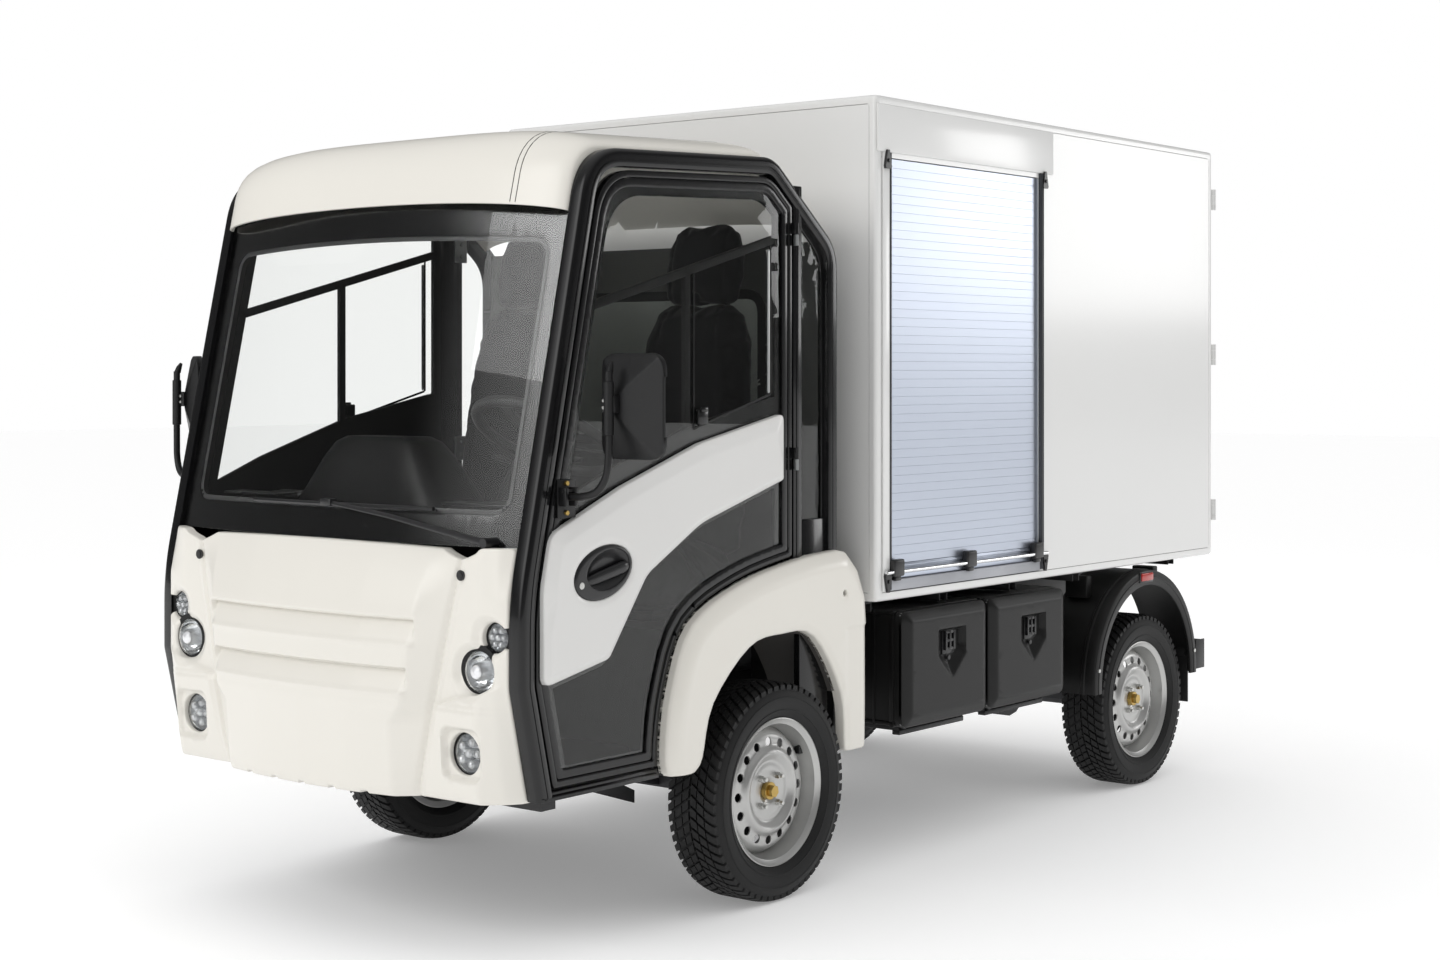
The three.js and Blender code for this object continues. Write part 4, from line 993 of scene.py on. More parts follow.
for side, sign in (("left", 1), ("right", -1)):
    cups, bowls, lenses, cores = Shape(), Shape(), Shape(), Shape()
    for kind, lamp_x, z, bore in LAMPS:
        x = sign * (lamp_x + 0.002)
        radius = bore - 0.0045
        face = -float(front_face(np.array([x]), np.array([z]))[0][1]) if kind == "fog" else \
            0.957 - 0.3 * max(0, lamp_x - 0.53)
        y = -(face - 0.016)
        cup_out, cup_in = bore + 0.01, radius + 0.001
        turned_to_front(cups, [(cup_out, -0.03), (cup_out, 0.002), (cup_in, 0.002), (cup_in, -0.03)], x, z, y)
        depth = radius * 0.75
        bowl_back = [(radius + 0.0005, 0.0005), (radius + 0.0005, -depth - 0.004), (1e-4, -depth - 0.004)]
        turned_to_front(bowls, quarter_round(radius, -depth, 9) + bowl_back, x, z, y, 36)
        inner_dome = [(r, w - 0.003) for r, w in quarter_round(radius * 0.98, radius * 0.28, 8)]
        turned_to_front(lenses, quarter_round(radius, radius * 0.28, 8) + inner_dome[::-1], x, z, y)
        cells = 6 if kind == "fog" else (7 if kind == "upper" else 1)
        for k in range(cells):
            angle = math.tau * k / max(1, cells - (1 if cells > 1 else 0))
            spread = 0 if k == cells - 1 else radius * 0.58
            cx, cz = x + spread * math.cos(angle), z + spread * math.sin(angle)
            size = radius * (0.24 if cells > 1 else 0.5)
            bulb = [(1e-4, size * 0.8), (size * 0.6, size * 0.62), (size * 0.92, size * 0.2), (size, -depth * 0.7),
                    (1e-4, -depth * 0.7)]
            turned_to_front(cores, bulb, cx, cz, y - 0.001, 20)
    cups.piece(f"lamp_cups_{side}", lining, "truck_body", "black_plastic", f"lamp_cluster_{side}")
    bowls.piece(f"lamp_bowls_{side}", chrome, "truck_body", "lamp_lens")
    cores.piece(f"lamp_cores_{side}", bulb_glow, "truck_body", "lamp_lens")
    lenses.piece(f"lamp_lenses_{side}", lens_glass, "truck_body", "lamp_lens")


# ---- Fenders: deep moulded arches in warm white over the front wheels, one piece from the sill back to
# ---- the load box, with a rounded outer shoulder, an inner crease and one fixing dimple.

fender_back = [(0.31, 0.892), (0.366, 0.84), (0.401, 0.765), (0.408, 0.69), (0.402, 0.48), (0.386, 0.352)]
arch_line = spline([(0.292, 0.352), (0.269, 0.515), (0.148, 0.677), (0.006, 0.696), (-0.132, 0.674), (-0.278, 0.549),
                    (-0.322, 0.418), (-0.352, 0.386)])
fender_shape = polygon([*fender_line, *fender_back, *arch_line])
arch_only = polygon([*arch_line, (-0.352, 0.1), (0.292, 0.1)])
fender_upper = polygon([*fender_line, *fender_back[:4], (0.41, 0.2), (-0.44, 0.2)])
fender_x = 0.7


def fender_face(y, z):
    """Flat outside, falling in a soft shoulder to the hoop above and to the arch's crease below."""
    upper = -fender_upper(y, z)
    shoulder = np.clip(1 - upper / 0.05, 0, 1) ** 2 * 0.022
    crease = arch_only(y, z)
    lip = 0.006 * np.clip(1 - crease / 0.022, 0, 1)
    flat = 0.004 * ramp(0.69 - z, 0, 0.006) * ramp(y, 0.28, 0.3)
    return np.stack([fender_x - shoulder - lip - flat, y, z], -1)


grey_liner = finish("arch_liner", (0.085, 0.08, 0.075), 0.7, grain=300, relief=0.4, mottle=0.08, gloss=0.3)
for side, mirror in (("left", False), ("right", True)):
    fender, liner, screw = Shape(), Shape(), Shape()
    sheet(fender, without(fender_shape, disc(0.283, 0.782, 0.008)), ((-0.46, 0.42), (0.34, 0.91)), 0.005, fender_face,
          (-1, 0, 0),
          0.03, edge=0.006, rounds=4, hidden_back=True)
    fender.piece(f"fender_{side}_moulding", moulded_white, "truck_body", "warm_white", f"fender_{side}",
                 mirror=mirror, crease=60)
    inner = arch_line[4:-2]
    outer = beside(inner, -0.006)
    liner.tube([[(0.45, *p), (0.45, *q), (0.672, *q), (0.672, *p)] for p, q in zip(inner, outer)], close=False,
               caps=True)
    liner.piece(f"arch_liner_{side}", grey_liner, "truck_body", "black_plastic", mirror=mirror)
    screw.rod((0.68, 0.283, 0.782), (0.69, 0.283, 0.782), 0.0075)
    screw.piece(f"fender_screw_{side}", bolt_dark, "truck_body", "black_steel", mirror=mirror)


# ---- Front struts and arch tabs: a flat stay from each rail to the wheel arch, and the tab that holds the
# ---- arch liner's front edge. Cut and bent steel bar with one screw each, powder-coated black.

def pipe(shape, points, radius, sides=12, flat=1.0):
    """A bar along points in space; flat under 1 makes it oval, thinner across."""
    points = [Vector(p) for p in points]
    side = (points[1] - points[0]).orthogonal().normalized()
    rings = []
    for i, point in enumerate(points):
        along = (points[min(i + 1, len(points) - 1)] - points[max(i - 1, 0)]).normalized()
        side = (side - along * side.dot(along)).normalized()
        other = along.cross(side)
        size = radius[i] if isinstance(radius, (list, tuple)) else radius
        rings.append([point + (side * math.cos(a) + other * math.sin(a) * flat) * size
                      for a in (math.tau * k / sides for k in range(sides))])
    shape.tube(rings, close=False, caps=True)


for side, mirror in (("left", False), ("right", True)):
    stay, screw = Shape(), Shape()
    stay.add([(x, y, z) for x in (0.496, 0.503) for y, z in ((-0.575, 0.392), (-0.515, 0.392), (-0.362, 0.322),
                                                             (-0.362, 0.29), (-0.555, 0.352))],
             [(0, 1, 2, 3, 4), (9, 8, 7, 6, 5), (0, 5, 6, 1), (1, 6, 7, 2), (2, 7, 8, 3), (3, 8, 9, 4), (4, 9, 5, 0)])
    stay.block((0.655, -0.322, 0.545), (0.659, -0.268, 0.64), 0.001)
    stay.piece(f"front_stay_{side}", chassis_coat, "truck_body", "black_steel", mirror=mirror)
    screw.rod((0.5, -0.548, 0.376), (0.51, -0.548, 0.376), 0.012, sides=20)
    screw.rod((0.658, -0.3, 0.598), (0.664, -0.3, 0.598), 0.007, sides=20)
    screw.piece(f"front_stay_screws_{side}", zinc, "truck_body", "silver_steel", mirror=mirror)


# ---- Cab doors: a welded frame of black extrusion with a pane bonded over it, a black border fired round
# ---- the glass, inner rails for the sliding window, and a printed belt behind the moulded panel.

door_path = rounded(inset(CAB_SIDE, [0.028, *[0.052] * 6]), steps=12)
sight_path = rounded(inset(CAB_SIDE, [0.074, *[0.112] * 6]), steps=12)
over_fender = polygon([*fender_line, (0.6, 0.898), (0.6, 0), (-0.436, 0)])
PANEL = rounded([(-0.874, 0.652, 0.024), (-0.648, 0.697, 0.03), (-0.508, 0.888, 0.1), (-0.3, 1.001, 0.3),
                 (0.043, 1.097, 0.01), (0.043, 1.271, 0.016), (-0.3, 1.202, 0.3), (-0.6, 1.104, 0.1),
                 (-0.846, 1.004, 0.05), (-0.874, 0.88, 0.2)], steps=8)
panel_line = polygon(PANEL)
door_window = ((-0.905, 0.105), (0.4, 1.92))


def door_outline(y, z):
    return np.maximum.reduce([polygon(door_path)(y, z), y - 0.097, 0.008 - over_fender(y, z)])


def door_sight(y, z):
    """The glass inside the fired border."""
    return np.maximum.reduce([polygon(sight_path)(y, z), y - 0.034, 0.047 - over_fender(y, z)])


def panel_middle(y):
    return np.interp(y, [-0.874, -0.7, -0.56, -0.33, 0.043], [0.8, 0.86, 0.98, 1.09, 1.18])


def belt(y, z):
    """The printed band that frames the moulded panel, deeper above it than below."""
    return panel_line(y, z) - (0.018 + 0.028 * ramp(z - panel_middle(y), -0.02, 0.02))


def door_part(distance, start, end):
    """The part of the door between two distances in from its edge."""
    return lambda y, z: np.maximum(distance(y, z) + start, -(distance(y, z) + end))


def bar(line, half, inside=door_outline, margin=0.036):
    """A straight bar, trimmed to the door."""
    (y0, z0), (y1, z1) = line
    length = math.hypot(y1 - y0, z1 - z0)
    n = (-(z1 - z0) / length * half, (y1 - y0) / length * half)
    box = polygon([(y0 - n[0], z0 - n[1]), (y1 - n[0], z1 - n[1]), (y1 + n[0], z1 + n[1]), (y0 + n[0], z0 + n[1])])
    return lambda y, z: np.maximum(box(y, z), inside(y, z) + margin)


alloy = finish("window_alloy", (0.42, 0.43, 0.43), 0.3, metallic=0.7, grain=900, relief=0.05)
for side, mirror in (("left", False), ("right", True)):
    body = f"cab_door_{side}_body"
    ring, border, trim, rails, pane, strip, seals = (Shape() for _ in range(7))
    sheet(ring, door_part(door_outline, 0, 0.017), door_window, 0.008, plain_x(0.658), (-1, 0, 0), 0.026, edge=0.003)
    sheet(ring, door_part(door_outline, 0.0182, 0.04), door_window, 0.008, plain_x(0.6562), (-1, 0, 0), 0.022,
          edge=0.0025)
    sheet(pane, lambda y, z: door_outline(y, z) + 0.034, door_window, 0.016, plain_x(0.65), (-1, 0, 0), 0.0035,
          edge=0.001)
    band = lambda y, z: np.maximum(door_outline(y, z) + 0.035, np.minimum(-door_sight(y, z), belt(y, z)))
    sheet(border, band, door_window, 0.006, plain_x(0.646), (-1, 0, 0), 0.001, edge=0.0004, rounds=1)
    sheet(trim, band, door_window, 0.008, plain_x(0.6446), (-1, 0, 0), 0.011, edge=0.002, rounds=2)
    sheet(rails, bar(((-0.79, 1.5083), (0.09, 1.7435)), 0.011), door_window, 0.006, plain_x(0.6456), (-1, 0, 0),
          0.012, edge=0.002)
    sheet(rails, bar(((-0.325, 1.225), (-0.325, 1.636)), 0.011), door_window, 0.006, plain_x(0.6456), (-1, 0, 0),
          0.012, edge=0.002)
    sheet(strip, bar(((0.003, 1.325), (0.003, 1.7)), 0.0045), door_window, 0.003, plain_x(0.652), (-1, 0, 0), 0.003,
          edge=0.001)
    for line, half in ((((-0.305, 1.238), (0.01, 1.322)), 0.003), (((-0.306, 1.236), (-0.306, 1.63)), 0.0025),
                       (((0.0115, 1.322), (0.0115, 1.712)), 0.003)):
        sheet(seals, bar(line, half), door_window, 0.002, plain_x(0.6518), (-1, 0, 0), 0.003, edge=0.0008, rounds=1)
    seals.block((0.65, -0.3, 1.248), (0.664, -0.262, 1.286), 0.004, 3)
    seals.block((0.662, -0.294, 1.28), (0.668, -0.268, 1.292), 0.002)
    ring.piece(f"door_frame_{side}_welded", gloss_coat, body, "gloss_black", f"door_frame_{side}", mirror=mirror)
    pane.piece(f"door_glass_{side}", side_glass, body, "tinted_glass", f"door_pane_{side}", mirror=mirror)
    border.piece(f"door_glass_border_{side}", frit, body, "gloss_black", mirror=mirror)
    trim.piece(f"door_inner_trim_{side}", lining, body, "black_plastic", mirror=mirror)
    rails.piece(f"door_rails_{side}", lining, body, "black_plastic", mirror=mirror)
    strip.piece(f"sliding_window_edge_{side}", alloy, body, "silver_steel", mirror=mirror)
    seals.piece(f"sliding_window_seals_{side}", frit, body, "black_plastic", mirror=mirror)


# ---- Door panels: a deep drawn moulding in white, bonded over the glass. Its upper edge falls away in a
# ---- wide bevel, and an oval dish takes the handle: a pull bar across a bowl, with the lock at its front end.

handle_y, handle_z, handle_tilt = -0.673, 0.905, math.radians(12.5)


def in_handle(y, z):
    """Distances along and across the handle's oval."""
    c, s = math.cos(handle_tilt), math.sin(handle_tilt)
    return (y - handle_y) * c + (z - handle_z) * s, -(y - handle_y) * s + (z - handle_z) * c


def oval(long_half, short_half, shift=0.0, lift=0.0):
    def distance(y, z):
        u, v = in_handle(y, z)
        u, v = u - shift, v - lift
        near = np.hypot(u / long_half, v / short_half)
        return near * (near - 1) / np.maximum(np.hypot(u / long_half ** 2, v / short_half ** 2), 1e-6)
    return distance


handle_rim, handle_bowl = oval(0.104, 0.062), oval(0.077, 0.046, 0.016, 0.003)


def panel_face(y, z):
    depth = -panel_line(y, z)
    width = 0.016 + 0.02 * ramp(z - panel_middle(y), -0.03, 0.03)
    dish = np.clip(1 - handle_rim(y, z) / 0.018, 0, 1) ** 2
    return np.stack([0.679 - 0.0075 * np.clip(1 - depth / width, 0, 1) - 0.004 * dish, y, z], -1)


def dish_face(y, z):
    inward = np.clip(-handle_bowl(y, z) / 0.03, 0, 1)
    return np.stack([0.675 - 0.015 * np.sin(math.pi / 2 * inward), y, z], -1)


def rim_dome(y, z):
    return np.stack([0.6755 + 0.003 * np.clip(-handle_rim(y, z) / 0.008, 0, 1) ** 0.5, y, z], -1)


handle_black = finish("handle_black", (0.01, 0.01, 0.011), 0.35, grain=900, relief=0.08, gloss=0.5, coat=0.2)
# The door panels' white is a darker copy of the warm white moulding: painted shade for their side-facing faces.
panel_white_painted_shade = finish("panel_white_painted_shade", (0.735, 0.73, 0.715), 0.34, grain=1500, relief=0.03, mottle=0.012, coat=0.25)
for side, mirror in (("left", False), ("right", True)):
    body = f"cab_door_{side}_body"
    panel, handle, lock = Shape(), Shape(), Shape()
    sheet(panel, without(panel_line, handle_rim), ((-0.88, 0.05), (0.64, 1.28)), 0.005, panel_face, (-1, 0, 0), 0.018,
          edge=0.0035, hidden_back=True)
    panel.piece(f"door_panel_{side}_moulding", panel_white_painted_shade, body, "warm_white", f"door_panel_{side}", mirror=mirror,
                crease=50)
    spot = ((handle_y - 0.11, handle_y + 0.11), (handle_z - 0.075, handle_z + 0.075))
    sheet(handle, without(handle_rim, handle_bowl), spot, 0.003, rim_dome, (-1, 0, 0), 0.01, edge=0.002)
    sheet(handle, lambda y, z: handle_bowl(y, z) - 0.001, spot, 0.003, dish_face, (-1, 0, 0), 0.002, edge=0.001)
    rings = []
    for u, high, out in ((-0.058, 0.006, 0.67), (-0.05, 0.011, 0.6745), (-0.02, 0.0135, 0.6765),
                         (0.03, 0.0145, 0.6785),
                         (0.07, 0.015, 0.68), (0.083, 0.0135, 0.6795), (0.09, 0.008, 0.677)):
        ring = []
        for k in range(16):
            a = math.tau * k / 16
            x = 0.664 + (out - 0.664) * (math.cos(a) + 1) / 2
            v = -0.008 + high * math.copysign(abs(math.sin(a)) ** 0.7, math.sin(a))
            c, s = math.cos(handle_tilt), math.sin(handle_tilt)
            ring.append((x, handle_y + u * c - v * s, handle_z + u * s + v * c))
        rings.append(ring)
    handle.tube(rings, close=False, caps=True)
    handle.piece(f"door_handle_{side}", handle_black, body, "black_plastic", mirror=mirror)
    c, s = math.cos(handle_tilt), math.sin(handle_tilt)
    y, z = handle_y - 0.083 * c + 0.008 * s, handle_z - 0.083 * s - 0.008 * c
    lock.rod((0.67, y, z), (0.6795, y, z), 0.0085, sides=28)
    lock.block((0.6785, y - 0.001, z - 0.0045), (0.68, y + 0.001, z + 0.0045), 0.0003, 1)
    lock.piece(f"door_lock_{side}", zinc, body, "silver_steel", mirror=mirror)


# ---- Door hinges: two on each side, a grey zinc-plated leaf on the door post and one on the door's frame,
# ---- with a turned pin between them on the hinge line just outside the post.

hinge_x, hinge_y = 0.67, 0.1005
hinge_grey = finish("hinge_grey", (0.3, 0.31, 0.31), 0.45, metallic=0.6, grain=500, relief=0.2)
for side, mirror in (("left", False), ("right", True)):
    post_leaves, door_leaves = Shape(), Shape()
    for z in (1.15, 1.745):
        post_leaves.block((0.606, 0.1, z - 0.036), (0.613, 0.146, z + 0.036), 0.002)
        for dz in (-0.018, 0.018):
            post_leaves.rod((0.6005, 0.122, z + dz), (0.6065, 0.122, z + dz), 0.006, sides=16)
        post_leaves.rod((hinge_x, hinge_y, z - 0.03), (hinge_x, hinge_y, z - 0.001), 0.0055, sides=20)
        post_leaves.block((0.657, hinge_y + 0.003, z - 0.03), (0.6705, hinge_y + 0.0075, z - 0.001), 0.001)
        door_leaves.rod((hinge_x, hinge_y, z + 0.0005), (hinge_x, hinge_y, z + 0.03), 0.0055, sides=20)
        door_leaves.block((0.6565, hinge_y - 0.0075, z + 0.0005), (0.6705, hinge_y - 0.003, z + 0.03), 0.001)
    post_leaves.piece(f"door_post_hinges_{side}", hinge_grey, "truck_body", "silver_steel", mirror=mirror)
    door_leaves.piece(f"door_leaf_hinges_{side}", gloss_coat, f"cab_door_{side}_body", "gloss_black", mirror=mirror)


# ---- Mirrors: a moulded shell with four folded facets on its back and a glass set in its rear face, on a
# ---- bent steel tube. A clamp with two screws holds the shell, and a bolted bracket holds the tube's foot.

def mirror_outline(grow):
    return polygon(rounded([(0.726 - grow, 1.178 - grow, 0.045), (0.914 + grow, 1.178 - grow, 0.045),
                            (0.914 + grow, 1.424 + grow, 0.045), (0.726 - grow, 1.424 + grow, 0.045)]))


def shell_back(x, z):
    ridge = np.minimum.reduce([(x - 0.726) / 0.06, (0.914 - x) / 0.128, (1.424 - z) / 0.105, (z - 1.178) / 0.105,
                               np.ones_like(x)])
    return np.stack([x, -0.737 - 0.03 * np.clip(ridge, 0, 1), z], -1)


mirror_black = finish("mirror_black", (0.0085, 0.0085, 0.009), 0.38, grain=500, relief=0.25, gloss=0.4)
silvering = finish("mirror_silvering", (0.86, 0.87, 0.88), 0.03, metallic=1.0, grain=300, relief=0.0, mottle=0.01)
for side, mirror in (("left", False), ("right", True)):
    body = f"cab_door_{side}_body"
    shell, glass, arm, bolts = Shape(), Shape(), Shape(), Shape()
    # the head on the far side is turned in about its tube, towards the driver
    stem = Matrix.Translation((0.792, -0.7865, 0))
    head = stem @ Matrix.Rotation(math.radians(33 if mirror else 0), 4, "Z") @ stem.inverted()
    spot = ((0.72, 0.92), (1.17, 1.43))
    sheet(shell, mirror_outline(0), spot, 0.004, shell_back, (0, 1, 0), 0.008, edge=0.003)
    sheet(shell, lambda x, z: np.maximum(mirror_outline(0)(x, z), -mirror_outline(-0.006)(x, z)), spot, 0.004,
          plain_y(-0.737), (0, 1, 0), 0.014, edge=0.001)
    sheet(glass, mirror_outline(-0.007), spot, 0.008, plain_y(-0.728), (0, 1, 0), 0.003, edge=0.0008)
    route = spline([(0.672, -0.795, 1.09), (0.72, -0.798, 1.092), (0.762, -0.795, 1.104), (0.786, -0.789, 1.14),
                    (0.792, -0.7865, 1.2), (0.792, -0.7865, 1.3), (0.792, -0.7865, 1.382)], steps=6)
    pipe(arm, route, 0.009, sides=14)
    pipe(arm, [(0.792, -0.7865, 1.235), (0.792, -0.7865, 1.236), (0.792, -0.7865, 1.357), (0.792, -0.7865, 1.358)],
         [0.0095, 0.012, 0.012, 0.0095], sides=14)
    pipe(arm, [(0.792, -0.784, 1.38), (0.791, -0.78, 1.392), (0.789, -0.774, 1.404)], [0.0088, 0.0075, 0.004],
         sides=14)
    arm.block((0.766, -0.784, 1.286), (0.806, -0.764, 1.326), 0.003)
    arm.block((0.6586, -0.82, 1.04), (0.664, -0.758, 1.13), 0.0015)
    arm.block((0.6636, -0.816, 1.068), (0.686, -0.806, 1.112), 0.002)
    arm.block((0.6636, -0.784, 1.068), (0.686, -0.774, 1.112), 0.002)
    arm.rod((0.676, -0.82, 1.104), (0.676, -0.768, 1.104), 0.004, sides=14)
    for z in (1.298, 1.314):
        bolts.rod((0.776, -0.789, z), (0.776, -0.783, z), 0.0042, sides=6)
    brasses = Shape()
    for z in (1.052, 1.121):
        brasses.rod((0.6635, -0.792, z), (0.67, -0.792, z), 0.0065, sides=6)
    for part in (shell, glass):
        part.bm.transform(head)
    shell.piece(f"mirror_shell_{side}", mirror_black, body, "black_plastic", f"mirror_{side}", mirror=mirror,
                crease=18)
    glass.piece(f"mirror_glass_{side}", silvering, body, "lamp_lens", mirror=mirror)
    arm.piece(f"mirror_arm_{side}", mirror_black, body, "black_steel", mirror=mirror)
    bolts.piece(f"mirror_screws_{side}", zinc, body, "silver_steel", mirror=mirror)
    brasses.piece(f"mirror_bolts_{side}", brass, body, "silver_steel", mirror=mirror)


# ---- Wiper: one long arm from a spindle beside the scuttle, pressed steel painted black, with a rubber
# ---- blade that lies along the foot of the glass.

wiper = Shape()
at_glass = lambda x, z, off: (x, float(screen_face(np.array([x]), np.array([z]), -off)[0][1]), z)
wiper.rod((0.546, -0.9, 0.985), (0.546, -0.948, 0.985), 0.012, sides=24)
pipe(wiper, [(0.556, -0.938, 0.983), (0.45, -0.95, 1.002), (0.25, -0.962, 1.036), at_glass(0.02, 1.062, 0.022)],
     [0.01, 0.0085, 0.007, 0.006], sides=10, flat=0.55)
blade = [at_glass(x, 1.056, 0.012) for x in np.linspace(-0.277, 0.365, 24)]
pipe(wiper, blade, 0.0055, sides=8)
pipe(wiper, [at_glass(x, 1.052, 0.0045) for x in np.linspace(-0.28, 0.368, 24)], 0.0035, sides=6)
wiper.block((0.004, -0.966, 1.052), (0.04, -0.944, 1.07), 0.003)
wiper.piece("wiper_arm_and_blade", handle_black, "truck_body", "black_steel")


# ---- Dashboard: a black moulding across the cab with an instrument hump in its middle, two flat vents with
# ---- raised lids, a steering column shroud and a stalk on each side of it.

dash = Shape()
dash_side = rounded([(-0.818, 0.905, 0), (-0.818, 1.008, 0.01), (-0.7, 1.05, 0.06), (-0.6, 1.042, 0.05),
                     (-0.522, 0.988, 0.04), (-0.53, 0.862, 0.03), (-0.62, 0.762, 0.03), (-0.818, 0.762, 0)])
dash_ends = [(-0.612, 0.01), (-0.606, 0.002), (-0.59, 0.0), (0.59, 0.0), (0.606, 0.002), (0.612, 0.01)]
middle_of_dash = (-0.68, 0.92)
dash.tube([[(x, y + (middle_of_dash[0] - y) * d * 4, z + (middle_of_dash[1] - z) * d * 4) for y, z in dash_side]
           for x, d in dash_ends], close=False, caps=True)
hump = []
for z, half, y0, y1 in ((1.02, 0.3, -0.775, -0.54), (1.09, 0.245, -0.76, -0.555), (1.16, 0.195, -0.742, -0.578),
                        (1.2, 0.16, -0.725, -0.6), (1.214, 0.13, -0.708, -0.618)):
    hump.append([(-0.075 + half * math.copysign(abs(math.cos(a)) ** 0.35, math.cos(a)),
                  (y0 + y1) / 2 + (y1 - y0) / 2 * math.copysign(abs(math.sin(a)) ** 0.5, math.sin(a)), z)
                 for a in (math.tau * k / 48 for k in range(48))])
dash.tube(hump, close=False, caps=True)
dash_grey = finish("dash_grey", (0.035, 0.036, 0.035), 0.45, grain=900, relief=0.08, gloss=0.4)
vents, dials = Shape(), Shape()
for x in (-0.42, 0.4):
    for k in range(4):
        vents.block((x - 0.085, -0.745 + 0.026 * k, 1.044), (x + 0.085, -0.727 + 0.026 * k, 1.056 + 0.002 * k), 0.002)
vents.block((0.285, -0.825, 1.058), (0.505, -0.76, 1.064), 0.002)
vents.block((-0.54, -0.825, 1.058), (-0.32, -0.76, 1.064), 0.002)
dials.rod((-0.075, -0.618, 1.128), (-0.075, -0.592, 1.116), 0.04, sides=40)
dials.block((-0.2, -0.602, 1.07), (0.05, -0.572, 1.1), 0.004)
column_axis = Vector((0, math.sin(math.radians(30)), math.cos(math.radians(30))))
wheel_hub = Vector((0.325, -0.5, 1.215))
pipe(dash, [wheel_hub - column_axis * d for d in (0.3, 0.25, 0.12, 0.07, 0.052, 0.047)],
     [0.052, 0.06, 0.056, 0.05, 0.04, 0.03], sides=28)
dash.piece("dashboard_moulding", lining, "truck_body", "black_plastic", "dashboard")
vents.piece("dashboard_vents", dash_grey, "truck_body", "black_plastic")
dials.piece("dashboard_display", frit, "truck_body", "gloss_black")
stalks = Shape()
for sign in (-1, 1):
    start = wheel_hub - column_axis * 0.085
    pipe(stalks, [start, start + Vector((sign * 0.08, 0.004, 0.01)), start + Vector((sign * 0.135, 0.012, 0.02)),
                  start + Vector((sign * 0.15, 0.014, 0.022))], [0.0055, 0.0055, 0.0085, 0.006], sides=12)
stalks.piece("column_stalks", lining, "truck_body", "black_plastic")


# ---- Steering wheel: a foam-covered rim on three flat steel spokes, with a padded boss over the nut. It
# ---- turns on the column's axis.

tilt = Matrix.Rotation(-math.radians(30), 3, "X")
wheel = Shape()
rings = []
for k in range(72):
    a = math.tau * k / 72
    ring = []
    for j in range(16):
        b = math.tau * j / 16
        grip = 0.0145 + 0.0016 * math.exp(-((math.degrees(a) % 120 - 30) / 14) ** 2) + 0.0005 * math.cos(18 * a)
        r = 0.185 + grip * math.cos(b)
        ring.append(wheel_hub + tilt @ Vector((r * math.cos(a), r * math.sin(a), grip * 0.92 * math.sin(b))))
    rings.append(ring)
wheel.tube(rings)
for degrees in (90, 210, 330):
    a = math.radians(degrees + 180)
    along, across = Vector((math.cos(a), math.sin(a), 0)), Vector((-math.sin(a), math.cos(a), 0))
    section = []
    for r, half, high in ((0.03, 0.026, -0.014), (0.075, 0.02, -0.014), (0.13, 0.017, -0.008), (0.182, 0.022, 0.0)):
        section.append([wheel_hub + tilt @ (along * r + across * half * c + Vector((0, 0, high + 0.0045 * s)))
                        for c, s in ((-1, -1), (-0.9, -1.4), (0.9, -1.4), (1, -1), (1, 0.6), (0.85, 1), (-0.85, 1),
                                     (-1, 0.6))])
    wheel.tube(section, close=False, caps=True)
boss = [wheel_hub + tilt @ Vector((0, 0, h)) for h in (-0.034, -0.032, -0.01, 0.0, 0.006, 0.008)]
pipe(wheel, boss, [0.04, 0.046, 0.056, 0.055, 0.046, 0.03], sides=40)
wheel.piece("steering_wheel_foam", dash_grey, "steering_wheel_body", "black_plastic", "steering_wheel")


# ---- Seats: two bucket seats, each a cushion, a back with raised edges and a rounded headrest. Moulded foam
# ---- in a woven black cloth cover sewn in panels, on a pressed steel foot.

def woven(name, color):
    material = finish(name, color, 0.9, grain=700, relief=0.3, mottle=0.1, gloss=0.2)
    nodes, links = material.node_tree.nodes, material.node_tree.links
    shader = nodes["Principled BSDF"]
    shader.inputs["Sheen Weight"].default_value = 0.12
    shader.inputs["Sheen Roughness"].default_value = 0.5
    place = nodes["Texture Coordinate"]
    heights = []
    for direction in ("X", "DIAGONAL"):
        thread = nodes.new("ShaderNodeTexWave")
        thread.bands_direction = direction
        thread.inputs["Scale"].default_value = 90.0
        thread.inputs["Distortion"].default_value = 0.6
        links.new(place.outputs["Object"], thread.inputs["Vector"])
        heights.append(thread.outputs["Fac"])
    cross = nodes.new("ShaderNodeMath")
    cross.operation = "MULTIPLY"
    for socket, value in zip(cross.inputs, heights):
        links.new(value, socket)
    weave = nodes.new("ShaderNodeBump")
    weave.inputs["Strength"].default_value = 0.35
    weave.inputs["Distance"].default_value = 0.0006
    links.new(cross.outputs[0], weave.inputs["Height"])
    links.new(nodes["Bump"].outputs["Normal"], weave.inputs["Normal"])
    links.new(weave.outputs["Normal"], shader.inputs["Normal"])
    return material


seat_weave = woven("seat_weave", (0.0085, 0.0085, 0.009))
seat_x = 0.325


def foam(stations):
    """A pad lofted through stations (y, z, half width, up, down, lean in degrees); up and down are its depths
    on its two sides."""
    rings = []
    for y, z, half, up, down, lean in stations:
        n = Vector((0, -math.cos(math.radians(lean)), math.sin(math.radians(lean))))
        ring = []
        for k in range(40):
            a = math.tau * k / 40
            c, s = math.cos(a), math.sin(a)
            across = math.copysign(abs(c) ** 0.55, c) * half
            depth = math.copysign(abs(s) ** 0.62, s) * (up * (1 + 0.3 * abs(c) ** 2) if s > 0 else down)
            ring.append(Vector((seat_x + across, y, z)) + n * depth)
        rings.append(ring)
    shape = Shape()
    shape.tube(rings, close=False, caps=True)
    return shape.mesh("foam")


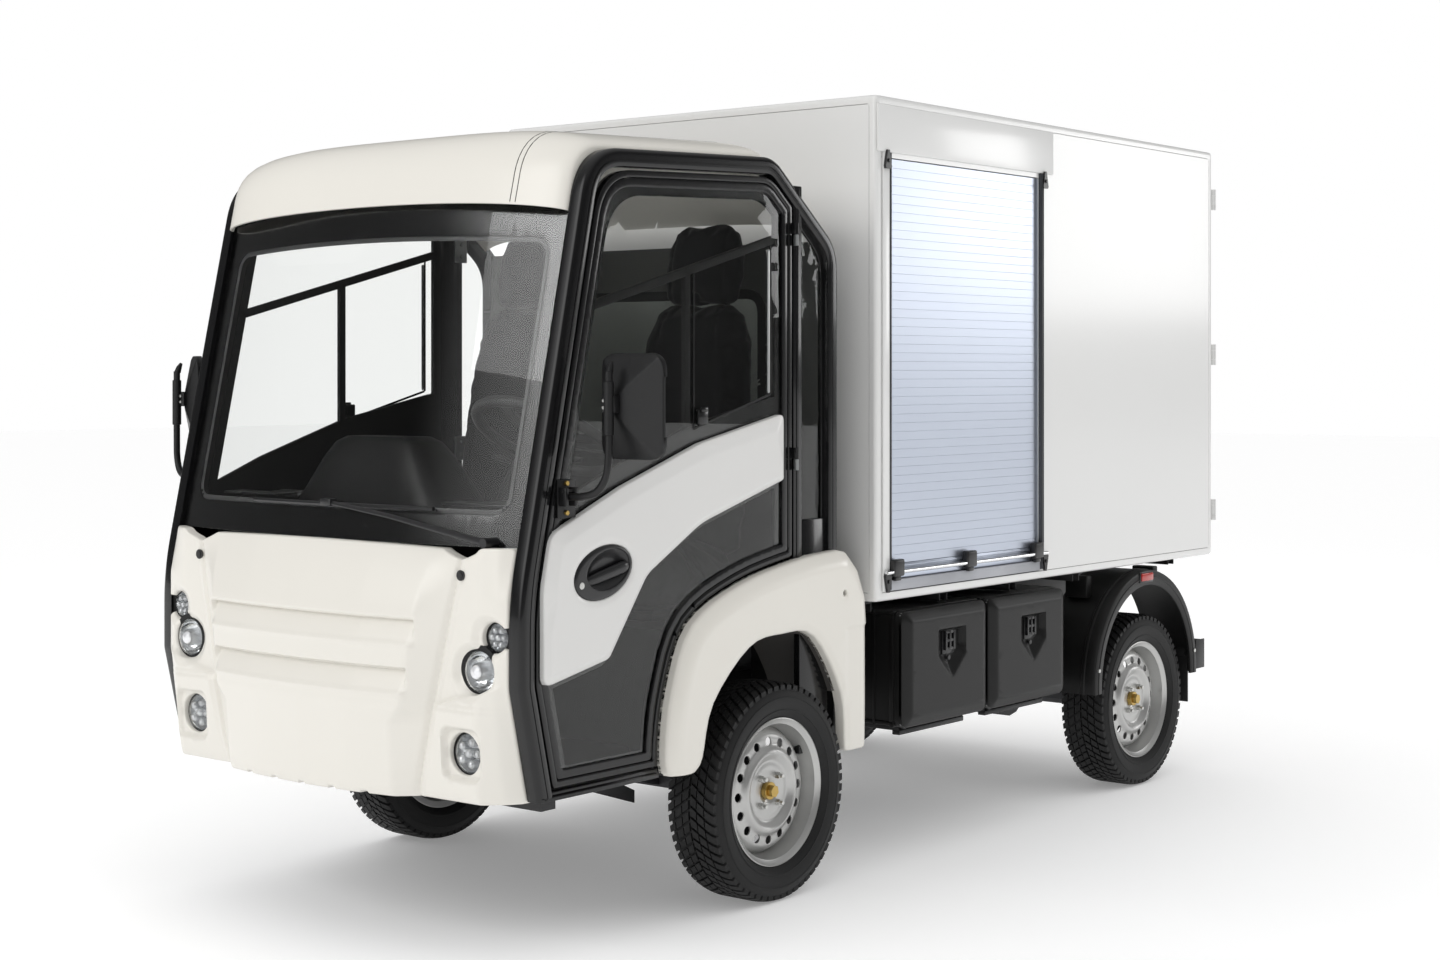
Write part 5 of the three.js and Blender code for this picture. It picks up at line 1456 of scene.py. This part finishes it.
def stuffed(mesh, most, keep):
    """The pad remeshed, blown out by cloth under pressure by no more than a distance, and made smooth."""
    pad = bpy.data.objects.new("pad", mesh)
    scene.collection.objects.link(pad)
    net = pad.modifiers.new("net", "REMESH")
    net.mode = "VOXEL"
    net.voxel_size = 0.006
    bpy.context.view_layer.update()
    base = bpy.data.meshes.new_from_object(pad.evaluated_get(bpy.context.evaluated_depsgraph_get()))
    pad.modifiers.clear()
    pad.data = base
    before = np.empty(len(base.vertices) * 3)
    base.vertices.foreach_get("co", before)
    cloth = pad.modifiers.new("cover", "CLOTH")
    cloth.settings.use_pressure = True
    cloth.settings.uniform_pressure_force = 4.0
    cloth.settings.effector_weights.gravity = 0.0
    cloth.settings.quality = 5
    cloth.point_cache.frame_start, cloth.point_cache.frame_end = 1, 20
    for step in range(1, 21):
        scene.frame_set(step)
    blown = bpy.data.meshes.new_from_object(pad.evaluated_get(bpy.context.evaluated_depsgraph_get()))
    after = np.empty(len(blown.vertices) * 3)
    blown.vertices.foreach_get("co", after)
    move = (after - before).reshape(-1, 3)
    length = np.linalg.norm(move, axis=1, keepdims=True)
    move *= np.minimum(1, most / np.maximum(length, 1e-9))
    pad.modifiers.clear()
    base.vertices.foreach_set("co", (before.reshape(-1, 3) + move).ravel())
    scene.frame_set(1)
    smooth = pad.modifiers.new("smooth", "SMOOTH")
    smooth.iterations = 4
    fine = pad.modifiers.new("fine", "SUBSURF")
    fine.levels = fine.render_levels = 1
    thin = pad.modifiers.new("thin", "DECIMATE")
    thin.ratio = keep
    bpy.context.view_layer.update()
    result = bpy.data.meshes.new_from_object(pad.evaluated_get(bpy.context.evaluated_depsgraph_get()))
    bpy.data.objects.remove(pad)
    return result


def sewn(mesh, seams):
    """Sinks narrow seams, each a signed distance from a plane, along the surface's own normals."""
    count = len(mesh.vertices)
    co, normal = np.empty(count * 3), np.empty(count * 3)
    mesh.vertices.foreach_get("co", co)
    mesh.vertices.foreach_get("normal", normal)
    co, normal = co.reshape(-1, 3), normal.reshape(-1, 3)
    local = co - np.array([seat_x, axle_y, 0])
    sink = sum(0.0045 * np.exp(-(seam(*local.T) / 0.0035) ** 2) for seam in seams)
    mesh.vertices.foreach_set("co", (co - normal * np.minimum(sink, 0.006)[:, None]).ravel())
    mesh.polygons.foreach_set("use_smooth", [True] * len(mesh.polygons))
    mesh.update()
    return mesh


PADS = {
    "cushion": ([(-0.322, 0.85, 0.15, 0.04, 0.05, 90), (-0.312, 0.85, 0.19, 0.058, 0.066, 90),
                 (-0.28, 0.85, 0.205, 0.072, 0.072, 90), (-0.18, 0.848, 0.21, 0.072, 0.074, 90),
                 (-0.06, 0.846, 0.21, 0.066, 0.074, 88), (0.02, 0.85, 0.195, 0.06, 0.07, 86),
                 (0.05, 0.852, 0.16, 0.045, 0.05, 84)],
                [lambda x, y, z: np.abs(x) - 0.125, lambda x, y, z: np.abs(y + 0.13) + 10 * (np.abs(x) > 0.125)]),
    "back": ([(0.04, 0.88, 0.16, 0.03, 0.03, 8), (0.046, 0.9, 0.195, 0.046, 0.04, 8),
              (0.058, 1.0, 0.21, 0.054, 0.042, 8), (0.076, 1.15, 0.212, 0.05, 0.042, 8),
              (0.098, 1.33, 0.206, 0.046, 0.04, 8), (0.116, 1.47, 0.186, 0.042, 0.038, 9),
              (0.127, 1.545, 0.15, 0.038, 0.034, 10), (0.132, 1.575, 0.11, 0.026, 0.026, 10)],
             [lambda x, y, z: np.abs(x) - 0.12 + 0.03 * np.clip((z - 1.3) / 0.25, 0, 1), lambda x, y, z:
              np.abs(z - 1.08) + 10 * (np.abs(x) > 0.12), lambda x, y,
              z: np.abs(z - 1.33) + 10 * (np.abs(x) > 0.12)]),
    "headrest": ([(0.128, 1.56, 0.095, 0.022, 0.02, 10), (0.132, 1.58, 0.12, 0.032, 0.028, 10),
                  (0.14, 1.64, 0.132, 0.038, 0.032, 10), (0.15, 1.71, 0.128, 0.038, 0.03, 10),
                  (0.158, 1.762, 0.108, 0.032, 0.026, 12), (0.162, 1.786, 0.076, 0.02, 0.018, 12)],
                 [lambda x, y, z: np.abs(x) - 0.09]),
}
for part, (stations, seams) in PADS.items():
    pad = sewn(stuffed(foam(stations), 0.022 if part != "headrest" else 0.012, 0.16), seams)
    for side, flip in (("left", False), ("right", True)):
        mesh = pad.copy()
        if flip:
            mesh.transform(Matrix.Diagonal((-1, 1, 1, 1)))
            mesh.flip_normals()
        node = [f"seat_{side}"] if part == "cushion" else []
        made = place_mesh(f"seat_{part}_{side}", mesh, seat_weave, "truck_body", "seat_cloth", *node)
for side, mirror in (("left", False), ("right", True)):
    foot = Shape()
    foot.block((seat_x - 0.18, -0.3, 0.741), (seat_x + 0.18, 0.06, 0.764), 0.004)
    foot.block((seat_x - 0.2, -0.32, 0.762), (seat_x + 0.2, 0.08, 0.776), 0.004)
    foot.piece(f"seat_foot_{side}", chassis_coat, "truck_body", "black_steel", mirror=mirror)


# ---- Box subframe: two steel runners welded on top of the rails, with six cross bearers of folded channel
# ---- that the box is bolted to. Shot-blasted and powder-coated black with the chassis.

subframe = Shape()
for sign in (-1, 1):
    subframe.block((sign * 0.3 - 0.029, 0.441, 0.5408), (sign * 0.3 + 0.029, 2.399, 0.7105), 0.003)
for y, reach in ((0.47, 0.64), (0.86, 0.64), (1.25, 0.64), (1.64, 0.64), (2.03, 0.47), (2.376, 0.6)):
    subframe.block((-reach, y - 0.0215, 0.733), (reach, y + 0.0215, 0.7378), 0.0015)
    subframe.block((-reach, y - 0.0215, 0.7105), (reach, y - 0.017, 0.7335), 0.0015)
    subframe.block((-reach, y + 0.017, 0.7105), (reach, y + 0.0215, 0.7335), 0.0015)
subframe.piece("box_subframe_channels", chassis_coat, "truck_body", "black_steel", "box_subframe")


# ---- Load box: flat white composite panels held in rounded aluminium extrusions along all twelve edges, with
# ---- a cast cap at each corner. The panels sit a hair lower than the extrusions, with a fine joint between.

box_x, box_y0, box_y1, box_z0, box_z1 = 0.705, 0.42, 2.48, 0.745, 2.145
leg = 0.024
door_y0, door_y1, door_top = 0.486, 1.3, 1.975
box_white = finish("box_white", (0.8, 0.8, 0.79), 0.42, grain=900, relief=0.015, mottle=0.008, coat=0.8)
box_white.node_tree.nodes["Principled BSDF"].inputs["Coat Roughness"].default_value = 0.16
deck_grey = finish("deck_grey", (0.2, 0.2, 0.205), 0.55, metallic=0.3, grain=120, relief=0.5, mottle=0.1)


def extrusion(shape, start, end, a, b, radius=0.0115, thick=0.004):
    """An angle section from start to end with a rounded corner; a and b point along its two legs."""
    start, end, a, b = Vector(start), Vector(end), Vector(a), Vector(b)
    turn = [math.radians(270 - 15 * k) for k in range(7)]
    section = [(leg, 0.0008), (leg - 0.0008, 0), *((radius + radius * math.cos(t),
                                                    radius + radius * math.sin(t)) for t in turn),
               (0, leg - 0.0008), (0.0008, leg), (thick, leg), (thick, radius), (radius, thick), (leg, thick)]
    shape.tube([[p + a * u + b * v for u, v in section] for p in (start, end)], close=False, caps=True)


box_edges, corner_caps = Shape(), Shape()
for sx in (-1, 1):
    x, xa = sx * box_x, (-sx, 0, 0)
    for z, za in ((box_z0, (0, 0, 1)), (box_z1, (0, 0, -1))):
        extrusion(box_edges, (x, box_y0 + leg, z), (x, box_y1 - leg, z), xa, za)
    for y, ya in ((box_y0, (0, 1, 0)), (box_y1, (0, -1, 0))):
        extrusion(box_edges, (x, y, box_z0 + leg), (x, y, box_z1 - leg), xa, ya)
for y, ya in ((box_y0, (0, 1, 0)), (box_y1, (0, -1, 0))):
    for z, za in ((box_z0, (0, 0, 1)), (box_z1, (0, 0, -1))):
        extrusion(box_edges, (-box_x + leg, y, z), (box_x - leg, y, z), ya, za)
cap, shy = leg + 0.012, 0.0003
for x in (-box_x + shy, box_x - shy - cap):
    for y in (box_y0 + shy, box_y1 - shy - cap):
        for z in (box_z0 + shy, box_z1 - shy - cap):
            corner_caps.block((x, y, z), (x + cap, y + cap, z + cap), 0.0112, 5)
box_edges.piece("box_edge_extrusions", box_white, "truck_body", "box_white", crease=25)
corner_caps.piece("box_corner_caps", box_white, "truck_body", "box_white")

seam, lower = 0.0012, 0.0006
in_x, in_y0, in_y1 = box_x - leg - seam, box_y0 + leg + seam, box_y1 - leg - seam
in_z0, in_z1 = box_z0 + leg + seam, box_z1 - leg - seam
PANELS = {
    "front_wall": [((-in_x, box_y0 + lower, in_z0), (in_x, box_y0 + 0.0215, in_z1))],
    "roof": [((-in_x, in_y0, box_z1 - 0.0215), (in_x, in_y1, box_z1 - lower))],
    "right_wall": [((-box_x + lower, in_y0, in_z0), (-box_x + 0.0215, in_y1, in_z1))],
    "left_wall": [((box_x - 0.0215, door_y1, in_z0), (box_x - lower, in_y1, in_z1)),
                  ((box_x - 0.0215, in_y0, door_top), (box_x - lower, door_y1 - seam, in_z1)),
                  ((box_x - 0.0215, in_y0, in_z0), (box_x - lower, door_y0, door_top - seam))],
    "floor": [((-in_x, in_y0, box_z0 + lower), (in_x, in_y1, box_z0 + 0.017))],
}
for name, blocks in PANELS.items():
    panel = Shape()
    for low, high in blocks:
        panel.block(low, high, 0.0006, 1)
    panel.piece(f"box_{name}_panel", box_white, "truck_body", "box_white", f"box_{name}")
deck = Shape()
deck.block((-0.679, 0.446, 0.7625), (0.679, 2.44, 0.7745), 0.001, 1)
for k in range(9):
    deck.block((-0.6 + 0.15 * k - 0.004, 0.46, 0.774), (-0.6 + 0.15 * k + 0.004, 2.43, 0.7765), 0.001, 1)
deck.piece("box_deck", deck_grey, "truck_body", "silver_steel")


# ---- Shutter: interlocking slats of anodised aluminium that hang in two side guides, under a plain cover
# ---- plate. The lowest slat is deeper, and a chromed pull bar runs across it in three black brackets.

def in_a_row(nodes, links, given, copies):
    """Copies along a line, one step apart."""
    line = nodes.new("GeometryNodeMeshLine")
    links.new(given["Count"], line.inputs["Count"])
    links.new(given["Start"], line.inputs["Start Location"])
    links.new(given["Step"], line.inputs["Offset"])
    links.new(line.outputs[0], copies["Points"])


# The slats are anodised aluminium; their blue tint is a painted reflection, standing in for the blue sheen along the
# shutter.
anodised = finish("anodised_slats_painted_sheen", (0.62, 0.67, 0.77), 0.34, metallic=0.9, grain=700, relief=0.02, mottle=0.01)
SLATS, pitch, slat_foot = 46, 0.0245, 0.846
slat = Shape()
profile = [(-0.008, 0.0), (-0.0004, 0.0), (0.0, 0.0005), (0.0, 0.0238), (-0.0004, 0.0243), (-0.008, 0.0243)]
slat.tube([[(box_x - 0.006 + x, y, z) for x, z in profile] for y in (door_y0 + 0.0006, door_y1 - 0.0006)],
          close=False,
          caps=True)
one_slat = slat.mesh("slat")
slat_row = copies_tree("slat_row", [("Count", "Int"), ("Start", "Vector"), ("Step", "Vector")], in_a_row)
curtain = grown(one_slat, slat_row, Count=SLATS, Start=(0.0, 0.0, slat_foot), Step=(0.0, 0.0, pitch), Finish=anodised)
place_mesh("shutter_slats", curtain, anodised, "truck_body", "anodised", "shutter_curtain")
foot_slat, guides, dark_guides, cover = Shape(), Shape(), Shape(), Shape()
foot_slat.block((0.691, door_y0 + 0.0006, 0.804), (0.7, door_y1 - 0.0006, 0.845), 0.002)
foot_slat.block((0.699, door_y0 + 0.0006, 0.836), (0.7035, door_y1 - 0.0006, 0.842), 0.0015)
foot_slat.piece("shutter_foot_slat", anodised, "truck_body", "anodised")
guides.block((0.7052, 0.447, 0.772), (0.7105, 0.479, 1.989), 0.0015)
guides.piece("shutter_guide_front", box_white, "truck_body", "box_white", "shutter_frame")
dark_guides.block((0.704, 0.48, 0.776), (0.7125, 0.4862, 1.9885), 0.001)
dark_guides.block((0.704, 1.296, 0.776), (0.7125, 1.314, 1.9885), 0.001)
dark_guides.block((0.7095, 1.299, 0.78), (0.715, 1.304, 1.985), 0.001)
dark_guides.block((0.7095, 1.3075, 0.78), (0.715, 1.3115, 1.985), 0.001)
guide_grey = finish("guide_grey", (0.07, 0.073, 0.08), 0.35, metallic=0.6, grain=900, relief=0.05)
dark_guides.piece("shutter_guides_dark", guide_grey, "truck_body", "black_steel")
cover.block((0.7052, 0.421, 1.989), (0.7115, 1.375, 2.1205), 0.0022, 3)
cover.piece("shutter_cover", box_white, "truck_body", "box_white")
bar_chrome = finish("bar_chrome", (0.8, 0.81, 0.82), 0.12, metallic=1.0, grain=500, relief=0.02)
pull_bar, bar_brackets, hooks = Shape(), Shape(), Shape()
pull_bar.rod((0.718, 0.451, 0.825), (0.718, 1.325, 0.825), 0.0062, sides=28)
pull_bar.piece("shutter_pull_bar", bar_chrome, "truck_body", "silver_steel")
for y in (0.506, 0.885, 1.268):
    bar_brackets.block((0.704, y - 0.026, 0.812), (0.7265, y + 0.026, 0.86), 0.006, 4)
    bar_brackets.block((0.704, y - 0.014, 0.8), (0.722, y + 0.014, 0.815), 0.003)
bar_brackets.piece("shutter_bar_brackets", handle_black, "truck_body", "black_plastic")
for y, z, up in ((0.4625, 1.965, 1), (1.317, 1.965, 1), (0.4625, 0.8, -1), (1.317, 0.8, -1)):
    hooks.add([(x, y + dy, z + up * dz) for x in (0.7108, 0.719)
               for dy, dz in ((-0.012, -0.022), (0.012, -0.022), (0.015, -0.016), (0.004, 0.03), (-0.004, 0.03),
                              (-0.015, -0.016))],
              [(0, 1, 2, 3, 4, 5), (11, 10, 9, 8, 7, 6),
               *((k, k + 6, (k + 1) % 6 + 6, (k + 1) % 6) for k in range(6))])
    hooks.rod((0.715, y, z), (0.723, y, z), 0.0055, sides=18)
hooks.piece("shutter_hooks", handle_black, "truck_body", "black_plastic")
tread = Shape()
tread.block((0.685, door_y0 + 0.0005, 0.7725), (0.7105, door_y1 - 0.0045, 0.8025), 0.002)
speckled = finish("speckled_tread", (0.42, 0.43, 0.46), 0.6, grain=260, relief=0.6, mottle=0.55)
tread.piece("shutter_threshold", speckled, "truck_body", "silver_steel")


# ---- Rear doors: two composite leaves in aluminium frames with a rubber seal all round. Each has three
# ---- strap hinges on its outer edge and a lock rod with a cam at each end, worked by a flat handle.

def turned_ring(shape, y0, y1, x0, x1, z0, z1, width, bevel=0.0008):
    """A rectangular frame of four bars."""
    shape.block((x0, y0, z0), (x0 + width, y1, z1), bevel, 1)
    shape.block((x1 - width, y0, z0), (x1, y1, z1), bevel, 1)
    shape.block((x0 + width + 0.0002, y0, z0), (x1 - width - 0.0002, y1, z0 + width), bevel, 1)
    shape.block((x0 + width + 0.0002, y0, z1 - width), (x1 - width - 0.0002, y1, z1), bevel, 1)


leaf_x0, leaf_x1, leaf_z0, leaf_z1 = 0.004, 0.672, 0.7695, 2.1135
for side, mirror in (("left", False), ("right", True)):
    body = f"box_door_{side}_body"
    leaf, rim, gasket, rods, straps, pins = (Shape() for _ in range(6))
    leaf.block((leaf_x0 + 0.0285, 2.456, leaf_z0 + 0.0285), (leaf_x1 - 0.0285, 2.4765, leaf_z1 - 0.0285), 0.0008, 1)
    turned_ring(rim, 2.4535, 2.478, leaf_x0, leaf_x1, leaf_z0, leaf_z1, 0.028)
    turned_ring(gasket, 2.47, 2.4795, leaf_x0 - 0.0015, leaf_x1 + 0.004, leaf_z0 - 0.0035, leaf_z1 + 0.0035, 0.005)
    leaf.piece(f"rear_door_{side}_panel", box_white, body, "box_white", f"rear_door_{side}", mirror=mirror)
    rim.piece(f"rear_door_{side}_frame", box_white, body, "box_white", mirror=mirror)
    gasket.piece(f"rear_door_{side}_seal", black_rubber, body, "black_plastic", mirror=mirror)
    rods.rod((0.06, 2.4835, 0.79), (0.06, 2.4835, 2.094), 0.0046, sides=20)
    for z in (0.8, 1.15, 1.65, 2.07):
        rods.block((0.038, 2.4782, z - 0.02), (0.082, 2.488, z + 0.02), 0.003)
    for z in (0.786, 2.098):
        rods.block((0.046, 2.4785, z - 0.01), (0.074, 2.488, z + 0.01), 0.0025)
    rods.block((0.054, 2.48, 1.3), (0.25, 2.4872, 1.322), 0.003)
    rods.block((0.215, 2.4782, 1.29), (0.255, 2.4835, 1.332), 0.002)
    rods.piece(f"rear_door_{side}_lock", zinc, body, "silver_steel", mirror=mirror)
    for z in (0.9, 1.44, 1.98):
        straps.block((0.56, 2.4782, z - 0.022), (0.69, 2.483, z + 0.022), 0.0015)
        straps.block((0.686, 2.479, z - 0.016), (0.712, 2.483, z + 0.016), 0.0015)
        straps.rod((0.712, 2.488, z - 0.016), (0.712, 2.488, z + 0.016), 0.0036, sides=20)
        for x in (0.585, 0.64):
            straps.rod((x, 2.4825, z), (x, 2.4875, z), 0.0065, sides=6)
        for low, high in ((z - 0.036, z - 0.0165), (z + 0.0165, z + 0.036)):
            pins.rod((0.712, 2.488, low), (0.712, 2.488, high), 0.0036, sides=20)
            pins.block((0.686, 2.4803, low), (0.711, 2.4845, high), 0.001)
    straps.piece(f"rear_door_{side}_hinges", box_white, body, "box_white", mirror=mirror)
    pins.piece(f"box_hinge_pins_{side}", box_white, "truck_body", "box_white", mirror=mirror)


# ---- Toolboxes: two moulded black boxes a side, open outwards, on a steel bearer bolted to the rail. Ribs
# ---- stiffen them and a flange round the mouth takes the lid's seal.

box_plastic = finish("box_plastic", (0.0075, 0.0075, 0.0075), 0.4, grain=900, relief=0.1, mottle=0.05, gloss=0.35)
for side, mirror in (("left", False), ("right", True)):
    shells, bearer = Shape(), Shape()
    for y0 in (0.59, 1.05):
        y1 = y0 + 0.44
        for low, high in (((0.35, y0, 0.378), (0.642, y1, 0.39)), ((0.35, y0, 0.692), (0.642, y1, 0.704)),
                          ((0.35, y0, 0.3905), (0.642, y0 + 0.012, 0.6915)),
                          ((0.35, y1 - 0.012, 0.3905), (0.642, y1, 0.6915)),
                          ((0.35, y0 + 0.0125, 0.3905), (0.362, y1 - 0.0125, 0.6915))):
            shells.block(low, high, 0.003)
        for low, high in (((0.634, y0 - 0.004, 0.374), (0.65, y1 + 0.001, 0.388)),
                          ((0.634, y0 - 0.004, 0.696), (0.65, y1 + 0.001, 0.7045)),
                          ((0.634, y0 - 0.004, 0.3885), (0.65, y0 + 0.006, 0.6955)),
                          ((0.634, y1 - 0.006, 0.3885), (0.65, y1 + 0.001, 0.6955))):
            shells.block(low, high, 0.002)
        for x in (0.42, 0.5, 0.58):
            shells.block((x - 0.004, y0 - 0.003, 0.376), (x + 0.004, y1 + 0.003, 0.38), 0.001)
            shells.block((x - 0.004, y0 - 0.003, 0.38), (x + 0.004, y0 + 0.001, 0.7), 0.001)
            shells.block((x - 0.004, y1 - 0.001, 0.38), (x + 0.004, y1 + 0.003, 0.7), 0.001)
        bearer.block((0.38, y0 + 0.05, 0.356), (0.632, y0 + 0.09, 0.373), 0.002)
        bearer.block((0.38, y0 + 0.35, 0.356), (0.632, y0 + 0.39, 0.373), 0.002)
        bearer.block((0.608, y0 + 0.05, 0.344), (0.634, y0 + 0.39, 0.358), 0.002)
    bearer.block((0.3305, 0.612, 0.452), (0.3495, 1.468, 0.508), 0.003)
    shells.piece(f"toolbox_shells_{side}", box_plastic, "truck_body", "black_plastic", f"toolboxes_{side}",
                 mirror=mirror)
    bearer.piece(f"toolbox_bearers_{side}", chassis_coat, "truck_body", "black_steel", mirror=mirror)


# ---- Toolbox lids: thick moulded lids hinged at the foot, with a wide sloping border, and a pocket in the
# ---- middle whose floor carries a paddle latch. A ribbed latch plate and its key slot are moulded in black.

def lid_outline(y0):
    return polygon(rounded([(y0 - 0.005, 0.3735, 0.032), (y0 + 0.441, 0.3735, 0.032), (y0 + 0.441, 0.7035, 0.032),
                            (y0 - 0.005, 0.7035, 0.032)]))


def lid_pocket(y0):
    return polygon(rounded([(y0 + 0.162, 0.64, 0.008), (y0 + 0.162, 0.56, 0.01), (y0 + 0.235, 0.494, 0.012),
                            (y0 + 0.309, 0.56, 0.01), (y0 + 0.309, 0.64, 0.008)]))


def lid_face(y0):
    outline, pocket = lid_outline(y0), lid_pocket(y0)

    def face(y, z):
        border = np.clip(1 + outline(y, z) / 0.03, 0, 1)
        slope = 0.01 + 0.022 * ramp(0.585 - z, 0, 0.03)
        sunk = np.clip(-pocket(y, z) / slope, 0, 1)
        line = np.exp(-(((border - 0.12) / 0.07) ** 2))
        return np.stack([0.6945 - 0.015 * border - 0.02 * sunk - 0.0008 * line, y, z], -1)
    return face


seal_grey = finish("seal_grey", (0.16, 0.16, 0.16), 0.5, grain=900, relief=0.05)
for name, y0 in (("front", 0.59), ("rear", 1.05)):
    for side, mirror in (("left", False), ("right", True)):
        body = f"lid_{name}_{side}_body"
        lid, latch, seal = Shape(), Shape(), Shape()
        sheet(lid, lid_outline(y0), ((y0 - 0.01, y0 + 0.45), (0.37, 0.71)), 0.0055, lid_face(y0), (-1, 0, 0), 0.01,
              edge=0.004)
        sheet(lid, lambda y, z: np.maximum(lid_outline(y0)(y, z), -0.016 - lid_outline(y0)(y, z)),
              ((y0 - 0.01, y0 + 0.45), (0.37, 0.71)), 0.006, plain_x(0.6785), (-1, 0, 0), 0.0265, edge=0.0015)
        middle = y0 + 0.2355
        latch.block((0.6735, middle - 0.03, 0.562), (0.679, middle + 0.03, 0.634), 0.003)
        for dy in (-0.021, 0.0, 0.021):
            latch.block((0.678, middle + dy - 0.0045, 0.574), (0.688, middle + dy + 0.0045, 0.63), 0.002)
        for z in (0.578, 0.602, 0.626):
            latch.block((0.678, middle - 0.0255, z - 0.004), (0.687, middle + 0.0255, z + 0.004), 0.002)
        latch.rod((0.678, middle, 0.552), (0.683, middle, 0.552), 0.008, sides=24, chamfer=0.0015)
        outline = lid_outline(y0)
        sheet(seal, lambda y, z: np.maximum(outline(y, z) - 0.0012, -0.004 - outline(y, z)),
              ((y0 - 0.012, y0 + 0.452), (0.366, 0.712)), 0.004, plain_x(0.672), (-1, 0, 0), 0.0045, edge=0.0008,
              rounds=1)
        lid.piece(f"toolbox_lid_{name}_{side}_moulding", box_plastic, body, "black_plastic",
                  f"toolbox_lid_{name}_{side}",
                  mirror=mirror, crease=28)
        seal.piece(f"toolbox_seal_{name}_{side}", seal_grey, body, "black_plastic", mirror=mirror)
        latch.piece(f"toolbox_latch_{name}_{side}", handle_black, body, "black_plastic", mirror=mirror)


# ---- Rear mudguards: a rolled black moulding over each wheel, deep lipped along its outer edge and screwed
# ---- to brackets under the box, with a rubber flap at its back and a red side marker above.

guard_y, guard_z, guard_r = 2.03, 0.36, 0.36
GUARD = [(guard_y - guard_r * math.cos(a), guard_z + guard_r * math.sin(a))
         for a in (math.pi * (k / 48 * 1.03 - 0.015) for k in range(49))]
GUARD_SECTION = [(0.5, 0.0), (0.64, 0.0), (0.643, 0.003), (0.652, 0.003), (0.655, 0.0), (0.684, 0.0),
                 (0.6905, -0.003),
                 (0.6925, -0.009), (0.6925, -0.046), (0.6905, -0.049), (0.685, -0.049), (0.683, -0.046),
                 (0.683, -0.016),
                 (0.678, -0.011), (0.5, -0.011)]
marker_red = finish("marker_red", (0.42, 0.018, 0.012), 0.2, grain=300, relief=0.05, coat=0.6)
for side, mirror in (("left", False), ("right", True)):
    guard, flap, screws, marker, rim = (Shape() for _ in range(5))
    moulding(guard, GUARD, GUARD_SECTION)
    moulding(guard, GUARD, [(0.692, -0.02), (0.6945, -0.0225), (0.6945, -0.0255), (0.692, -0.028)])
    for y in (1.8, 2.26):
        guard.block((0.52, y - 0.018, 0.64), (0.6, y + 0.018, 0.712), 0.004)
    flap.block((0.52, 2.3765, 0.238), (0.662, 2.3845, 0.43), 0.002)
    flap.block((0.528, 2.372, 0.395), (0.654, 2.377, 0.425), 0.002)
    for y, z, radius in ((1.6945, 0.42, 0.007), (2.3655, 0.42, 0.007), (guard_y, 0.694, 0.006)):
        screws.rod((0.69, y, z), (0.6975, y, z), radius, sides=6)
    marker.block((0.6945, 1.975, 0.686), (0.7005, 2.055, 0.712), 0.003, 3)
    rim.block((0.69, 1.969, 0.68), (0.6965, 2.061, 0.718), 0.003)
    guard.piece(f"mudguard_{side}_moulding", box_plastic, "truck_body", "black_plastic", f"mudguard_{side}",
                mirror=mirror)
    flap.piece(f"mud_flap_{side}", black_rubber, "truck_body", "black_plastic", mirror=mirror)
    screws.piece(f"mudguard_screws_{side}", zinc, "truck_body", "silver_steel", mirror=mirror)
    marker.piece(f"side_marker_{side}", marker_red, "truck_body", "lamp_lens", mirror=mirror)
    rim.piece(f"side_marker_rim_{side}", handle_black, "truck_body", "black_plastic", mirror=mirror)


# ---- Rear beam: a steel box section across the chassis ends with capped ends, on two plates bolted to the
# ---- rails. It carries a lamp cluster at each side, a blank plate with its lamp, and a towing eye below.

beam, lamps_red, lamps_amber, lamps_rim, blank, fixings = (Shape() for _ in range(6))
beam.block((-0.676, 2.409, 0.352), (0.676, 2.4695, 0.448), 0.007, 3)
for x in (-0.68, 0.6765):
    beam.block((x, 2.406, 0.35), (x + 0.0035, 2.472, 0.45), 0.001)
for x in (-0.3, 0.3):
    beam.block((x - 0.03, 2.403, 0.43), (x + 0.03, 2.4285, 0.5395), 0.003)
    for z in (0.47, 0.515):
        fixings.rod((x, 2.427, z), (x, 2.436, z), 0.009, sides=6)
beam.block((-0.05, 2.469, 0.362), (0.05, 2.476, 0.438), 0.003)
tow = []
for a in (math.tau * k / 24 for k in range(24)):
    centre = Vector((0, 2.44 + 0.018 * math.cos(a), 0.338 + 0.024 * math.sin(a)))
    out = Vector((0, math.cos(a), math.sin(a)))
    tow.append([centre + (out * math.cos(b) + Vector((1, 0, 0)) * math.sin(b)) * 0.006
                for b in (math.tau * j / 12 for j in range(12))])
beam.tube(tow)
for sign in (-1, 1):
    lamps_rim.block((sign * 0.52 - 0.11, 2.469, 0.36), (sign * 0.52 + 0.11, 2.479, 0.44), 0.005, 3)
    for offset, shape in ((-0.068, lamps_red), (0.0, lamps_amber), (0.068, lamps_red)):
        x = sign * 0.52 + offset
        shape.block((x - 0.03, 2.478, 0.37), (x + 0.03, 2.486, 0.43), 0.006, 3)
blank.block((-0.36, 2.4695, 0.345), (-0.11, 2.473, 0.45), 0.002)
fixings.block((-0.25, 2.469, 0.4505), (-0.22, 2.49, 0.46), 0.002)
marker_amber = finish("marker_amber", (0.7, 0.22, 0.02), 0.2, grain=300, relief=0.05, coat=0.6)
plate_white = finish("plate_white", (0.78, 0.78, 0.76), 0.45, grain=500, relief=0.03)
beam.piece("rear_beam_section", chassis_coat, "truck_body", "black_steel", "rear_beam")
lamps_rim.piece("tail_lamp_housings", handle_black, "truck_body", "black_plastic")
lamps_red.piece("tail_lamps_red", marker_red, "truck_body", "lamp_lens")
lamps_amber.piece("tail_lamps_amber", marker_amber, "truck_body", "lamp_lens")
blank.piece("rear_plate_blank", plate_white, "truck_body", "warm_white")
fixings.piece("rear_beam_fixings", zinc, "truck_body", "silver_steel")
